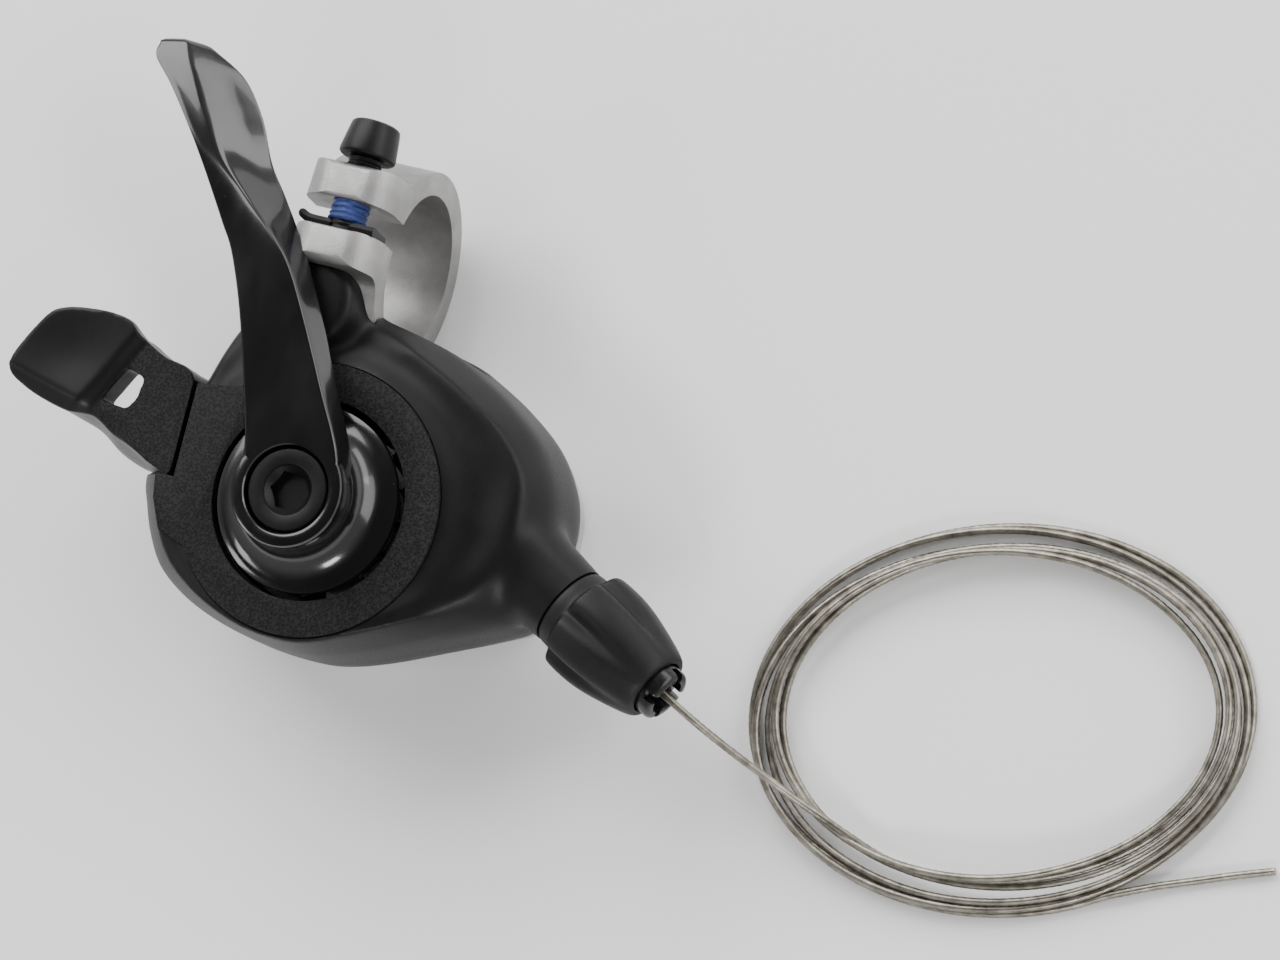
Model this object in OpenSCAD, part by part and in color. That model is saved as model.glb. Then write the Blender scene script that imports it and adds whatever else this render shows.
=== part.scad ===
// Bicycle trigger shifter for a 22.2 mm handlebar, lying on its top cover with its levers up.
// The shapes are set out from the levers' pivot, with z = 0 on the top cover's flat outer face.
// The part's own origin is the centre of the bar clamp, and +X runs along the bar.

/* [Bar clamp] */
// Radius of the handlebar
bar_r = 11.1; // [11.0:0.05:11.2]
// Wall thickness of the clamp ring
clamp_wall = 3.2; // [2.8:0.1:3.4]
// Width of the clamp along the bar
clamp_w = 12; // [10:0.5:12.5]
// Gap between the clamp's two ears
slit_w = 4.1; // [3.5:0.1:4.5]

/* [Housing] */
// Height of the textured face plate above the top cover's outer face
plate_z = 28.5; // [28.5:0.1:29]
// Radius of the textured face plate
plate_r = 19; // [18.5:0.1:19.4]
// Radius of the round opening that the lever's dish sits in
dish_gap_r = 14; // [13.9:0.05:14.1]
// Height of the joint between the top cover and the housing
cover_h = 6; // [5:0.5:7]

/* [Pull lever] */
// Radius of the dish round the lever's hub
dish_r = 13.1; // [12.6:0.1:13.4]
// Height of the lever's face above the face plate
lever_rise = 9; // [8.8:0.1:9.4]
// Thickness of the lever's arm
arm_t = 3; // [2.4:0.1:3.2]

/* [Mechanism] */
// Pitch radius of the cable on its spool
spool_r = 12.5; // [12.4:0.05:12.6]
// Height of the cable's line above the top cover's outer face
cable_z = 18.5; // [18.3:0.1:18.7]
// Number of teeth on the ratchet wheel
ratchet_teeth = 16; // [12:1:20]
// Radius of the fixed axle
axle_r = 3.5; // [3.2:0.1:3.6]

/* [Cable and adjuster] */
// Diameter of the steel cable
cable_d = 1.1; // [1.0:0.1:1.2]
// Largest radius of the adjuster knob
knob_r = 7.6; // [7.2:0.1:7.8]
// Number of grip ribs round the adjuster knob
knob_ribs = 6; // [5:1:8]

/* [Hidden] */

$fn = 64;
run_clear = 0.05; // radial clearance of a shaft that turns or slides
free_clear = 0.4; // clearance between pieces that only pass each other
over = 0.5; // how far a cutting shape runs past the face it cuts

// Clamp centre, measured from the levers' pivot on the top cover's outer face
clamp_at = [-4.3, 34.5, 14.5];
clamp_r = bar_r + clamp_wall;
ear_tilt = 8; // degrees from +Z towards +Y
ear_low = 1; // height of the lower ear's inner face above the clamp's centre line
ear_t = 4.3; // thickness of the upper ear
ear_len = 18.3; // distance of the ears' ends from the clamp's centre
bolt_w = 15.6; // distance of the bolt's axis from the clamp's centre
bolt_r = 2.45;
ear_high = ear_low + slit_w;

plate_t = 2.3;
plate_floor = plate_z - plate_t;
cavity_r = 17.7;
pocket_x = -20; // the straight joint between face plate and release lever
pocket_z = 15.8; // floor of the pocket that the release lever swings in

// Heights of the mechanism's layers
base_z = 8.4;
base_t = 1.2;
spool_z = 14;
flange_r = 13.9;
ratchet_z = 20.7;
ratchet_t = 2.6;
ratchet_r = 12.8;
carrier_z = 23.6;
carrier_t = 1.3;
bush_r = 5;
axle_top = 33.6;
lever_z = plate_z + lever_rise;
screw_head_r = 5.75;
counterbore_r = 6.1;
release_at = [-9.5, 13.5];
release_post_r = 1.8;
drive_pin_at = [7.8, -13.5];
drive_pin_r = 1.2;
post_angles = [70, 225, 262];
post_at_r = 15.6;
post_r = 1.5;

// The cable's straight line: tangent to the spool, 28 degrees below the bar's direction
line_angle = -28;
line_dir = [cos(line_angle), sin(line_angle)];
tangent_at = [-spool_r * sin(line_angle), spool_r * cos(line_angle)];
nose_s = 35; // distance along the cable's line of the housing nose's end
knob_s = 35.2;
knob_len = 17.2;
ferrule_s = 54.6;
shank_r = 3;
collar_r = 3.92;
exit_at = [tangent_at[0] + ferrule_s * line_dir[0], tangent_at[1] + ferrule_s * line_dir[1], cable_z];

// Free cable, from the ferrule to the top of the coil
run_route = [exit_at, [56.8, -16, 18.5], [59.4, -17.4, 17.4], [62, -18.8, 14.6], [64.6, -20.2, 11.6],
    [67.2, -21.4, 8.6], [70, -22.8, 6.2], [74, -24.4, 4.2], [78.6, -26.2, 2.9], [83.6, -28, 2.2]];
tail_route = [[116, -26, 1.2], [119, -24.8, 1.1], [122.6, -23.2, 0.9], [127, -21.6, 0.7],
    [133, -19.4, 0.7], [139.6, -17.2, 0.7]];
coil_at = [95.5, -6];
coil_turn = 12;
coil_long = 36.8;
coil_short = 27.2;
coil_w = 5.6;
coil_h = 2.8;

// Housing outline at its widest height, and the same points at the top edge
waist = [[-27.3, -1.4], [-26.2, -5], [-24.6, -8.8], [-21.9, -12.9], [-17.4, -16.1], [-12, -18.3],
    [-6, -19.7], [0, -20.2], [4.8, -19.8], [11, -17.9], [18.9, -14.6], [25.5, -11.8], [31, -9.2],
    [34, -3.6], [34.2, 3.6], [32.4, 8.4], [29.8, 12.6], [26.4, 16.4], [21.4, 20], [16.2, 22.8],
    [10.4, 24.8], [4.5, 26], [-1, 27], [-7, 27.6], [-12.5, 26.4], [-17.2, 22.6], [-20.8, 17],
    [-23.6, 10.4], [-26.4, 4]];
rim = [[-23.2, -1.4], [-22.4, -4.8], [-20.9, -8.4], [-18.4, -11.8], [-14.8, -14.6], [-10.4, -17],
    [-5.4, -18.8], [0, -19.5], [4.6, -19], [9.8, -17], [15.6, -13.2], [20.8, -8.6], [25, -4],
    [28, 1], [29, 5.4], [28.4, 9], [26, 12.4], [21.9, 16], [16.5, 19.4], [10.6, 22.2],
    [4.6, 24.6], [-1.5, 26.6], [-6.4, 27.8], [-10, 27.4], [-13.2, 26], [-16.2, 22.8], [-18.2, 17],
    [-19.4, 12.4], [-21, 5]];

// Height, share of the way from waist to rim, and inset of each ring of the housing's skin
skin_levels = [[cover_h, 0.1, 1.7], [9, 0, 0.5], [14, 0, 0], [19, 0, 0], [23, 0.38, 0],
    [26, 0.8, 0], [27.6, 1, 0], [28.3, 1, 0.5]];
cover_levels = [[0, 0.1, 6.5], [0.5, 0.1, 4.4], [1.8, 0.1, 2.8], [4, 0.1, 1.9], [cover_h, 0.1, 1.5]];

function unit(v) = v / norm(v);
function mix(a, b, t) = a * (1 - t) + b * t;
// A point pulled towards the housing's middle by a distance
function inset(p, d) = p - unit(p - [2, 2]) * d;
function housing_ring(level) = [for (i = [0:len(waist) - 1])
    let (p = inset(mix(waist[i], rim[i], level[1]), level[2])) [p[0], p[1], level[0]]];

// Direction of a route at one of its points
function heading(route, i) = unit(route[min(i + 1, len(route) - 1)] - route[max(i - 1, 0)]);
// Circle of points round a route, square to it
function tube_ring(route, i, r, sides) =
    let (t = heading(route, i), side = unit(cross(t, [0, 0, 1])), up = cross(side, t))
    [for (k = [0:sides - 1]) route[i] + r * (cos(360 * k / sides) * up + sin(360 * k / sides) * side)];
// Smooth point of a route between its points i and i + 1
function spline(route, i, t) =
    let (n = len(route) - 1, a = route[max(i - 1, 0)], b = route[i], c = route[i + 1],
        d = route[min(i + 2, n)])
    0.5 * (2 * b + (c - a) * t + (2 * a - 5 * b + 4 * c - d) * t * t + (3 * b - a - 3 * c + d) * t * t * t);
function smooth_route(route, steps) = concat(
    [for (i = [0:len(route) - 2], k = [0:steps - 1]) spline(route, i, k / steps)],
    [route[len(route) - 1]]);
function helix(r, pitch, turns, steps) = [for (i = [0:turns * steps])
    [r * cos(360 * i / steps), r * sin(360 * i / steps), pitch * i / steps]];

function middle(ring) = [for (p = ring) 1] * ring / len(ring);

// Closed skin over a stack of rings that all have the same number of points. Each end is closed
// with triangles from its middle, or from one of its points where the middle lies outside it.
module skin(rings, corner = -1) {
    n = len(rings[0]);
    last = (len(rings) - 1) * n;
    start_hub = corner < 0 ? last + n : corner;
    end_hub = corner < 0 ? last + n + 1 : last + corner;
    sides = [for (i = [0:len(rings) - 2], j = [0:n - 1])
        let (a = i * n + j, b = i * n + (j + 1) % n) each [[a, a + n, b], [b, a + n, b + n]]];
    ends = [for (k = [0:n - 1]) let (a = k, b = (k + 1) % n) if (a != corner && b != corner)
        each [[start_hub, a, b], [end_hub, last + b, last + a]]];
    hubs = corner < 0 ? [middle(rings[0]), middle(rings[len(rings) - 1])] : [];
    polyhedron(concat([for (ring = rings) each ring], hubs), concat(sides, ends));
}

module tube(route, r, sides) {
    skin([for (i = [0:len(route) - 1]) tube_ring(route, i, r, sides)]);
}

// Moves what is drawn round the pivot to the part's own origin
module place() {
    translate(-clamp_at) children();
}

module ring(z, h, r_out, r_in) {
    translate([0, 0, z]) difference() {
        cylinder(h = h, r = r_out);
        translate([0, 0, -over]) cylinder(h = h + 2 * over, r = r_in);
    }
}

// Puts what is drawn along +Z on the cable's line, a distance from the spool's tangent point
module on_line(s) {
    translate([tangent_at[0] + s * line_dir[0], tangent_at[1] + s * line_dir[1], cable_z])
        rotate([0, 90, line_angle]) children();
}

// Clamp's own directions: x along the bar, y across the ears, z towards the ears' ends
module in_clamp() {
    translate(clamp_at) rotate([-ear_tilt, 0, 0]) children();
}

// Along the clamp bolt, starting at a height across the ears
module on_bolt(y) {
    in_clamp() translate([0, y, bolt_w]) rotate([-90, 0, 0]) children();
}

module along_bar(x0, x1, r) {
    translate([x0, clamp_at[1], clamp_at[2]]) rotate([0, 90, 0]) cylinder(h = x1 - x0, r = r);
}

module top_cover() {
    color("#c9c9c6") place() difference() {
        skin([for (level = cover_levels) housing_ring(level)]);
        translate([0, 0, 1.6]) cylinder(h = cover_h, r = 15.5);
        translate([13, 2, 1.6]) cylinder(h = cover_h, r = 9);
        along_bar(-40, 60, bar_r + over);
        along_bar(clamp_at[0] - clamp_w / 2 - 0.2, clamp_at[0] + clamp_w / 2 + 0.2, clamp_r + 0.1);
    }
}

// The face plate's outline, grown for the recess that holds it
module plate_outline(grow) {
    circle(r = plate_r + grow);
    polygon([[pocket_x, 12.2 + grow], [pocket_x, -1], [-22.8 - grow, -1 - grow], [-22.2 - grow, -4.4],
        [-20.4, -8.4 - grow], [-16, -10], [-8, 0], [-14, 12.2 + grow]]);
}

module housing_shell() {
    color("#1b1b1c") place() difference() {
        union() {
            skin([for (level = skin_levels) housing_ring(level)]);
            on_line(nose_s - 13) cylinder(h = 13, r1 = 8.6, r2 = 5.8);
            translate([-5.6, 26.6, 20]) cylinder(h = 11.4, r = 4.8);
        }
        translate([0, 0, cover_h - over]) cylinder(h = plate_floor - cover_h + over + 0.01, r = cavity_r);
        // room for the release lever's steel arm and the holding pawl round their post
        translate([release_at[0], release_at[1], cover_h - over])
            cylinder(h = carrier_z + 1.7 - cover_h + over, r = 4.2);
        translate([release_at[0], release_at[1], cover_h])
            cylinder(h = plate_floor - cover_h + 0.1, r = release_post_r + 0.1);
        translate([0, 0, plate_floor]) linear_extrude(plate_t + over) plate_outline(0.05);
        // beside the release lever the face plate reaches the housing's edge
        translate([-34, -8.45, plate_floor]) cube([18, 20.75, plate_t + over]);
        // pocket of the release lever, and the window its steel arm passes through
        translate([0, 0, pocket_z]) linear_extrude(20)
            polygon([[pocket_x, -1], [-40, -1], [-40, 30], [-20.6, 30], [-18.9, 17], [pocket_x, 12.4]]);
        translate([0, 0, carrier_z - free_clear]) linear_extrude(2.1)
            polygon([[-21, 2], [-11, 2], [-11, 16.8], [-13.5, 15.5], [-17, 13.7], [-21, 13.6]]);
        // cable's way out, and the adjuster's seat in the nose
        on_line(8) cylinder(h = 20, r = 0.9);
        on_line(nose_s - 11) cylinder(h = 12, r = 4.4);
        along_bar(-60, 60, bar_r + over);
        along_bar(clamp_at[0] - clamp_w / 2 - 0.2, clamp_at[0] + clamp_w / 2 + 0.2, clamp_r + 0.1);
        clamp_ears(0.15);
        translate([clamp_at[0], 19.4, clamp_at[2]]) rotate([-90, 0, 0]) cylinder(h = 3, r = 1.5);
        translate([clamp_at[0], 14, clamp_at[2]]) rotate([-90, 0, 0]) cylinder(h = 5.4, r = 2.9);
    }
}

module face_plate() {
    color("#1e1e1f") place() translate([0, 0, plate_floor]) difference() {
        linear_extrude(plate_t) plate_outline(0);
        translate([0, 0, -over]) cylinder(h = plate_t + 2 * over, r = dish_gap_r);
    }
}

module base_plate() {
    color("#9a9c9e") place() difference() {
        translate([0, 0, base_z]) cylinder(h = base_t, r = cavity_r - 0.2);
        translate([0, 0, base_z - over]) cylinder(h = base_t + 2 * over, r = axle_r);
        at_posts() translate([0, 0, base_z - over]) cylinder(h = base_t + 2 * over, r = 1);
    }
}

module upper_plate() {
    color("#9a9c9e") place() difference() {
        ring(plate_floor - 1, 1, cavity_r - 0.1, dish_gap_r);
        translate([release_at[0], release_at[1], plate_floor - 1 - over]) cylinder(h = 2, r = release_post_r);
    }
}

module at_posts() {
    for (a = post_angles) rotate([0, 0, a]) translate([post_at_r, 0, 0]) children();
}

module main_axle() {
    color("#b4b6b8") place() difference() {
        union() {
            translate([0, 0, base_z - 1]) cylinder(h = 1, r = axle_r + 1.5);
            translate([0, 0, base_z]) cylinder(h = axle_top - base_z, r = axle_r);
        }
        translate([0, 0, axle_top - 9]) cylinder(h = 9 + over, r = 2);
    }
}

module spacer_posts() {
    color("#b4b6b8") place() at_posts() ring(base_z + base_t, plate_floor - 1 - base_z - base_t, post_r, 1);
}

module mechanism_screws() {
    color("#3a3a3c") place() at_posts() {
        translate([0, 0, base_z - 0.9]) cylinder(h = 0.9, r = 1.9);
        translate([0, 0, base_z]) cylinder(h = 6, r = 1);
    }
}

module release_post() {
    color("#b4b6b8") place() translate([release_at[0], release_at[1], base_z + base_t])
        cylinder(h = plate_floor - base_z - base_t, r = release_post_r);
}

// Both ears of the clamp, grown for the seat that the housing leaves them
module clamp_ears(grow) {
    ear_x = -clamp_w / 2 - grow;
    in_clamp() {
        for (low = [[ear_low - 5 - grow, 5 + 2 * grow], [ear_high - grow, ear_t + 2 * grow]])
            translate([ear_x, low[0], bar_r - 2]) intersection() {
                cube([clamp_w + 2 * grow, low[1], ear_len - bar_r + 2]);
                translate([clamp_w / 2 + grow, low[1] + 1, ear_len - bar_r - 8]) rotate([90, 0, 0])
                    cylinder(h = low[1] + 2, r = 10);
            }
    }
}

module bar_clamp() {
    color("#c3c4c2") place() difference() {
        union() {
            along_bar(clamp_at[0] - clamp_w / 2, clamp_at[0] + clamp_w / 2, clamp_r);
            clamp_ears(0);
        }
        along_bar(clamp_at[0] - clamp_w, clamp_at[0] + clamp_w, bar_r);
        in_clamp() translate([-clamp_w, ear_low, 0]) cube([2 * clamp_w, slit_w, 2 * ear_len]);
        on_bolt(ear_high - over) cylinder(h = ear_t + 2 * over, r = bolt_r + 0.3);
        on_bolt(ear_low - 3) cylinder(h = 3 + over, r = bolt_r + 0.3);
        translate([clamp_at[0], 20, clamp_at[2]]) rotate([-90, 0, 0]) cylinder(h = 2.4, r = 1.5);
    }
}

module clamp_bolt() {
    color("#161617") place() difference() {
        union() {
            on_bolt(ear_low - 2) cylinder(h = ear_high + ear_t - ear_low + 5, r = bolt_r);
            on_bolt(ear_high + ear_t + 3) cylinder(h = 5, r1 = 4, r2 = 3.3);
        }
        on_bolt(ear_high + ear_t + 5.4) cylinder(h = 3, r = 2 / cos(30), $fn = 6);
    }
}

module threadlock_patch() {
    color("#2f62b0") place() on_bolt(ear_low + 1.7) difference() {
        cylinder(h = slit_w - 1.9, r = bolt_r + 0.2);
        translate([0, 0, -over]) cylinder(h = slit_w, r = bolt_r);
    }
}

module clamp_nut_plate() {
    color("#141415") place() difference() {
        in_clamp() translate([-clamp_w / 2 + 0.4, ear_low, bar_r + 1.2])
            cube([clamp_w - 1.6, 1.3, ear_len - bar_r - 2.2]);
        on_bolt(ear_low - over) cylinder(h = 3, r = bolt_r);
    }
}

module clamp_mount_screw() {
    color("#8f9193") place() translate([clamp_at[0], 0, clamp_at[2]]) rotate([-90, 0, 0]) {
        translate([0, 0, 18.4]) cylinder(h = 1, r = 2.7);
        translate([0, 0, 19.4]) cylinder(h = 3, r = 1.5);
    }
}

module lever_screw() {
    color("#1a1a1b") place() difference() {
        union() {
            translate([0, 0, axle_top + 0.5]) cylinder(h = 2.7, r = screw_head_r);
            translate([0, 0, axle_top - 8]) cylinder(h = 8.5, r = 2);
        }
        translate([0, 0, axle_top + 0.9]) cylinder(h = 3, r = 2.5 / cos(30), $fn = 6);
        translate([0, 0, axle_top + 2.4]) cylinder(h = 1.4, r1 = 2.6, r2 = 3.6);
    }
}

module lever_washer() {
    color("#77797b") place() ring(axle_top, 0.5, screw_head_r - 0.2, 2);
}

module spring_wire(r, pitch, turns, wire_r) {
    tube(helix(r, pitch, turns, 18), wire_r, 6);
}

module lever_return_spring() {
    color("#a8a9aa") place() translate([0, 0, 25.7]) spring_wire(9.7, 1.1, 1.2, 0.45);
}

module spool_return_spring() {
    color("#a8a9aa") place() translate([0, 0, 10.4]) spring_wire(8.6, 1.1, 2.5, 0.45);
}

module release_return_spring() {
    color("#a8a9aa") place() translate([release_at[0], release_at[1], 10.6]) spring_wire(2.6, 0.9, 5, 0.35);
}

module adjuster_insert() {
    color("#b08d4c") place() on_line(nose_s - 11) difference() {
        cylinder(h = 11, r = 4.4);
        translate([0, 0, -over]) cylinder(h = 12, r = shank_r + run_clear);
    }
}

module adjuster_detent_spring() {
    color("#a8a9aa") place() on_line(knob_s + 1.6) spring_wire(4, 0.9, 4, 0.35);
}

module cable_inner() {
    color("#8d8b84") place() on_line(0.4) cylinder(h = ferrule_s - 0.4, r = cable_d / 2);
}

// Stations of the lever's arm: left edge, right edge and lower right edge of its L-shaped section
arm_drop = 4.5;
arm_stations = [
    [[-7, -1.5, 0], [6.8, -1.5, 0], [7.2, -1.5, -arm_drop]],
    [[-7.3, 4.6, 0], [6.4, 5.4, 0], [7.1, 5.6, -arm_drop]],
    [[-9.8, 13, 0], [1.3, 14.4, 0], [2, 14.8, -arm_drop]],
    [[-13.2, 22.8, 0], [-3.6, 23, 0], [-2.9, 23.4, -arm_drop]],
    [[-16.2, 29.9, 0], [-7.6, 29.6, 0], [-6.9, 30, -arm_drop]],
    [[-18.7, 33.7, 0], [-10.8, 33.5, 0], [-9.9, 34, -arm_drop]],
    [[-22.8, 39.6, 0], [-16.6, 38.2, -0.6], [-13.7, 39.3, -6]],
    [[-26.5, 44.6, -0.2], [-21.6, 42.8, -1], [-16.6, 43.1, -6.2]],
    [[-31.4, 50.4, -1], [-26, 48.4, -1.6], [-19.6, 49, -6.4]],
    [[-35.1, 53.8, -2], [-29.6, 53.4, -2.4], [-23.6, 53.8, -6.4]],
    [[-35.4, 56.2, -3], [-31.8, 56.8, -3.6], [-28.6, 56.6, -5.8]]];
function arm_section(st) =
    let (left = st[0], border = st[1], low = st[2], across = unit(border - left), down = unit(low - border),
        in_left = [0, 0, -arm_t] + left + across * 0.6, wall = 2.4)
    [for (p = [left, border, low, low - across * wall, border - across * wall + down * arm_t, in_left])
        p + [0, 0, lever_z]];

module pull_lever() {
    color("#0e0e0f") place() difference() {
        union() {
            rotate_extrude() polygon(concat(
                [[bush_r, carrier_z + carrier_t], [6.6, carrier_z + carrier_t], [6.6, plate_z - 0.6],
                [dish_r, plate_z - 0.6], [dish_r, plate_z + 0.2]],
                [for (k = [0:6]) let (a = 15 * k) [dish_r - 0.3 - 5 * sin(a), plate_z + 5.6 - 5 * cos(a)]],
                [[7.8, lever_z - 0.6], [7.2, lever_z], [bush_r, lever_z]]));
            skin([for (st = arm_stations) arm_section(st)], 1);
        }
        translate([0, 0, axle_top - 0.1]) cylinder(h = lever_rise, r = counterbore_r);
        translate([0, 0, plate_z]) cylinder(h = lever_rise, r = bush_r);
    }
}

module lever_bush() {
    color("#c9a96a") place() ring(carrier_z, axle_top - 0.1 - carrier_z, bush_r, axle_r + run_clear);
}

module pawl_carrier() {
    color("#a3a5a7") place() difference() {
        union() {
            translate([0, 0, carrier_z]) cylinder(h = carrier_t, r = 11.5);
            translate([drive_pin_at[0], drive_pin_at[1], carrier_z]) cylinder(h = carrier_t, r = 2);
            translate([0, 0, carrier_z]) linear_extrude(carrier_t)
                polygon([[2.6, -8], [6, -14.5], [9.6, -12.5], [8, -6]]);
        }
        translate([0, 0, carrier_z - over]) cylinder(h = carrier_t + 2 * over, r = bush_r);
        translate([drive_pin_at[0], drive_pin_at[1], carrier_z - over])
            cylinder(h = carrier_t + 2 * over, r = drive_pin_r);
    }
}

drive_pawl_z = 22.2;

module drive_pawl() {
    color("#8b8d90") place() translate([0, 0, drive_pawl_z]) difference() {
        union() {
            translate([drive_pin_at[0], drive_pin_at[1], 0]) cylinder(h = 1, r = 2.1);
            linear_extrude(1) polygon([[7, -11.8], [9.8, -13.6], [14.4, -8.4], [15, -3.6], [13.4, -0.5],
                [12.1, -0.4], [12.9, -3], [12.1, -8]]);
        }
        translate([drive_pin_at[0], drive_pin_at[1], -over]) cylinder(h = 2, r = drive_pin_r);
    }
}

module drive_pawl_pin() {
    color("#b9bbbd") place() translate([drive_pin_at[0], drive_pin_at[1], drive_pawl_z - 0.5])
        cylinder(h = carrier_z + carrier_t - drive_pawl_z + 0.7, r = drive_pin_r);
}

module drive_pawl_spring() {
    color("#a8a9aa") place() translate([drive_pin_at[0], drive_pin_at[1], drive_pawl_z - 1.2])
        spring_wire(1.8, 0.45, 2, 0.2);
}

module cable_spool() {
    groove_r = spool_r - cable_d / 2;
    color("#2b2c2e") place() difference() {
        rotate_extrude() polygon([[bush_r, spool_z], [7, spool_z], [7, cable_z - 1.9], [flange_r, cable_z - 1.9],
            [flange_r, cable_z - 1], [groove_r + 0.4, cable_z - 0.7], [groove_r, cable_z - 0.4],
            [groove_r, cable_z + 0.4], [groove_r + 0.4, cable_z + 0.7], [flange_r, cable_z + 1],
            [flange_r, ratchet_z], [bush_r, ratchet_z]]);
        rotate([0, 0, 200]) translate([spool_r - 1.4, 0, cable_z - 1.95]) cylinder(h = 3.2, r = 2.05);
    }
}

module spool_bush() {
    color("#c9a96a") place() ring(spool_z, ratchet_z + ratchet_t - spool_z, bush_r, axle_r + run_clear);
}

module ratchet_wheel() {
    root_r = ratchet_r - 1.4;
    pitch = 360 / ratchet_teeth;
    color("#96989b") place() translate([0, 0, ratchet_z]) difference() {
        linear_extrude(ratchet_t) polygon([for (i = [0:ratchet_teeth - 1], k = [0:2])
            let (a = pitch * (i + [0, 0.12, 0.8][k]), r = [root_r, ratchet_r, root_r + 0.4][k])
            [r * cos(a), r * sin(a)]]);
        translate([0, 0, -over]) cylinder(h = ratchet_t + 2 * over, r = bush_r);
    }
}

module cable_nipple() {
    color("#8f9092") place() rotate([0, 0, 200]) translate([spool_r - 1.4, 0, cable_z - 1.9])
        cylinder(h = 3.1, r = 2);
}

// The cable in the spool's groove, from the nipple round to just before the tangent point
module cable_wrap() {
    color("#8d8b84") place() translate([0, 0, cable_z]) rotate([0, 0, 64])
        rotate_extrude(angle = 126) translate([spool_r, 0]) circle(r = cable_d / 2 - 0.02, $fn = 24);
}

// Release lever outline at its underside and at its face
release_low = [[-20.9, 0], [-24.4, -0.3], [-28.4, -0.2], [-31.8, 0.9], [-35.4, 3.2], [-39.8, 4.8],
    [-43.8, 6.6], [-45.6, 9.4], [-43, 14.8], [-40.6, 16.8], [-36.6, 17.2], [-33, 17.2], [-30, 15.8],
    [-26.4, 14.2], [-21.2, 12.3]];
release_top = [[-20.7, -0.2], [-23.4, -0.3], [-27, 1.4], [-30.8, 3], [-34.2, 4.7], [-38.4, 4.6],
    [-44.6, 6.4], [-47.6, 9.2], [-44.4, 16], [-41.8, 18.2], [-36.6, 19], [-32, 18.6], [-29.8, 16.8],
    [-26, 14.8], [-20.7, 12.4]];
release_levels = [[pocket_z + 0.4, 0, 0], [20, 0.1, 0], [24.4, 0.55, 0], [27.6, 1, 0], [28.4, 1, 0.7]];
function release_ring(level) = [for (i = [0:len(release_low) - 1])
    let (p = mix(release_low[i], release_top[i], level[1]), q = p - unit(p - [-32, 9]) * level[2])
    [q[0], q[1], level[0]]];

module release_lever() {
    color("#19191a") place() difference() {
        skin([for (level = release_levels) release_ring(level)]);
        translate([0, 0, pocket_z - 1]) linear_extrude(20)
            polygon([[-30.6, 12.2], [-27.9, 11.2], [-28.3, 8.2], [-29.4, 6.6], [-33.4, 7]]);
        // the underside of the finger pad is cut away so that it overhangs
        translate([-50, 0, pocket_z - 1]) cube([15.4, 24, 5.2]);
        translate([0, 0, carrier_z + 0.1]) linear_extrude(1.2) release_arm_outline();
    }
}

module release_arm_outline() {
    polygon([[-26, 3], [-19, 3.6], [-12.8, 9.6], [-9.5, 10.6], [-6.8, 12.6], [-8.4, 16.4], [-11.6, 15.8],
        [-16.6, 11.2], [-19, 8.6], [-26, 8]]);
}

module release_arm() {
    color("#a3a5a7") place() translate([0, 0, carrier_z + 0.1]) difference() {
        linear_extrude(1.2) release_arm_outline();
        translate([release_at[0], release_at[1], -over]) cylinder(h = 3, r = release_post_r + run_clear);
    }
}

module holding_pawl() {
    color("#8b8d90") place() translate([0, 0, ratchet_z + 0.2]) difference() {
        union() {
            translate([release_at[0], release_at[1], 0]) cylinder(h = 1, r = 2.6);
            linear_extrude(1) polygon([[-12, 13.2], [-14.2, 8.8], [-15.2, 4.6], [-14.8, 1.4], [-13.2, 0],
                [-13, 1], [-13.7, 3.4], [-13.6, 7.2], [-11, 10.9]]);
        }
        translate([release_at[0], release_at[1], -over]) cylinder(h = 2, r = release_post_r + run_clear);
    }
}

module adjuster_knob() {
    profile = [[5.6, 0], [6.3, 1], [7, 3.4], [7.5, 5.6], [knob_r, 7.2], [7.3, 9.4], [6.6, 12], [5.9, 14.4],
        [5.4, 16.4], [5, knob_len]];
    color("#151516") place() on_line(knob_s) difference() {
        rotate_extrude() polygon(concat([[0, 0]], profile, [[0, knob_len]]));
        for (k = [0:knob_ribs - 1]) rotate([0, 0, (k + 0.5) * 360 / knob_ribs]) translate([knob_r + 3.5, 0, 1.6])
            cylinder(h = knob_len + 1, r = 4.2);
        translate([0, 0, -over]) cylinder(h = knob_len + 1, r = shank_r + run_clear);
        translate([0, 0, 0.9]) cylinder(h = 5.1, r = 4.6);
        translate([0, 0, knob_len - 3.2]) cylinder(h = 4, r = collar_r + run_clear);
    }
}

module adjuster_ferrule() {
    start_s = nose_s - 8;
    len_all = ferrule_s - start_s;
    collar_len = ferrule_s - knob_s - knob_len + 3;
    color("#101011") place() on_line(start_s) difference() {
        union() {
            cylinder(h = len_all - 2, r = shank_r);
            translate([0, 0, len_all - collar_len]) cylinder(h = collar_len, r = collar_r);
        }
        translate([0, 0, -over]) cylinder(h = len_all + 1, r = 0.8);
        translate([0, 0, len_all - 4.6]) cylinder(h = 6, r = 2.55);
        for (a = [0, 90]) rotate([0, 0, a + 20]) translate([-5, -0.6, len_all - 1.6]) cube([10, 1.2, 3]);
    }
}

module cable_run() {
    color("#8d8b84") place() tube(smooth_route(run_route, 3), cable_d / 2, 8);
}

module cable_tail() {
    color("#8d8b84") place() tube(smooth_route(tail_route, 2), cable_d / 2, 8);
}

// An oval with the coil's centre, drawn as straight edges between points on the ellipse
module oval(long, short) {
    polygon([for (k = [0:47]) [long * cos(7.5 * k), short * sin(7.5 * k)]]);
}

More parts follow.
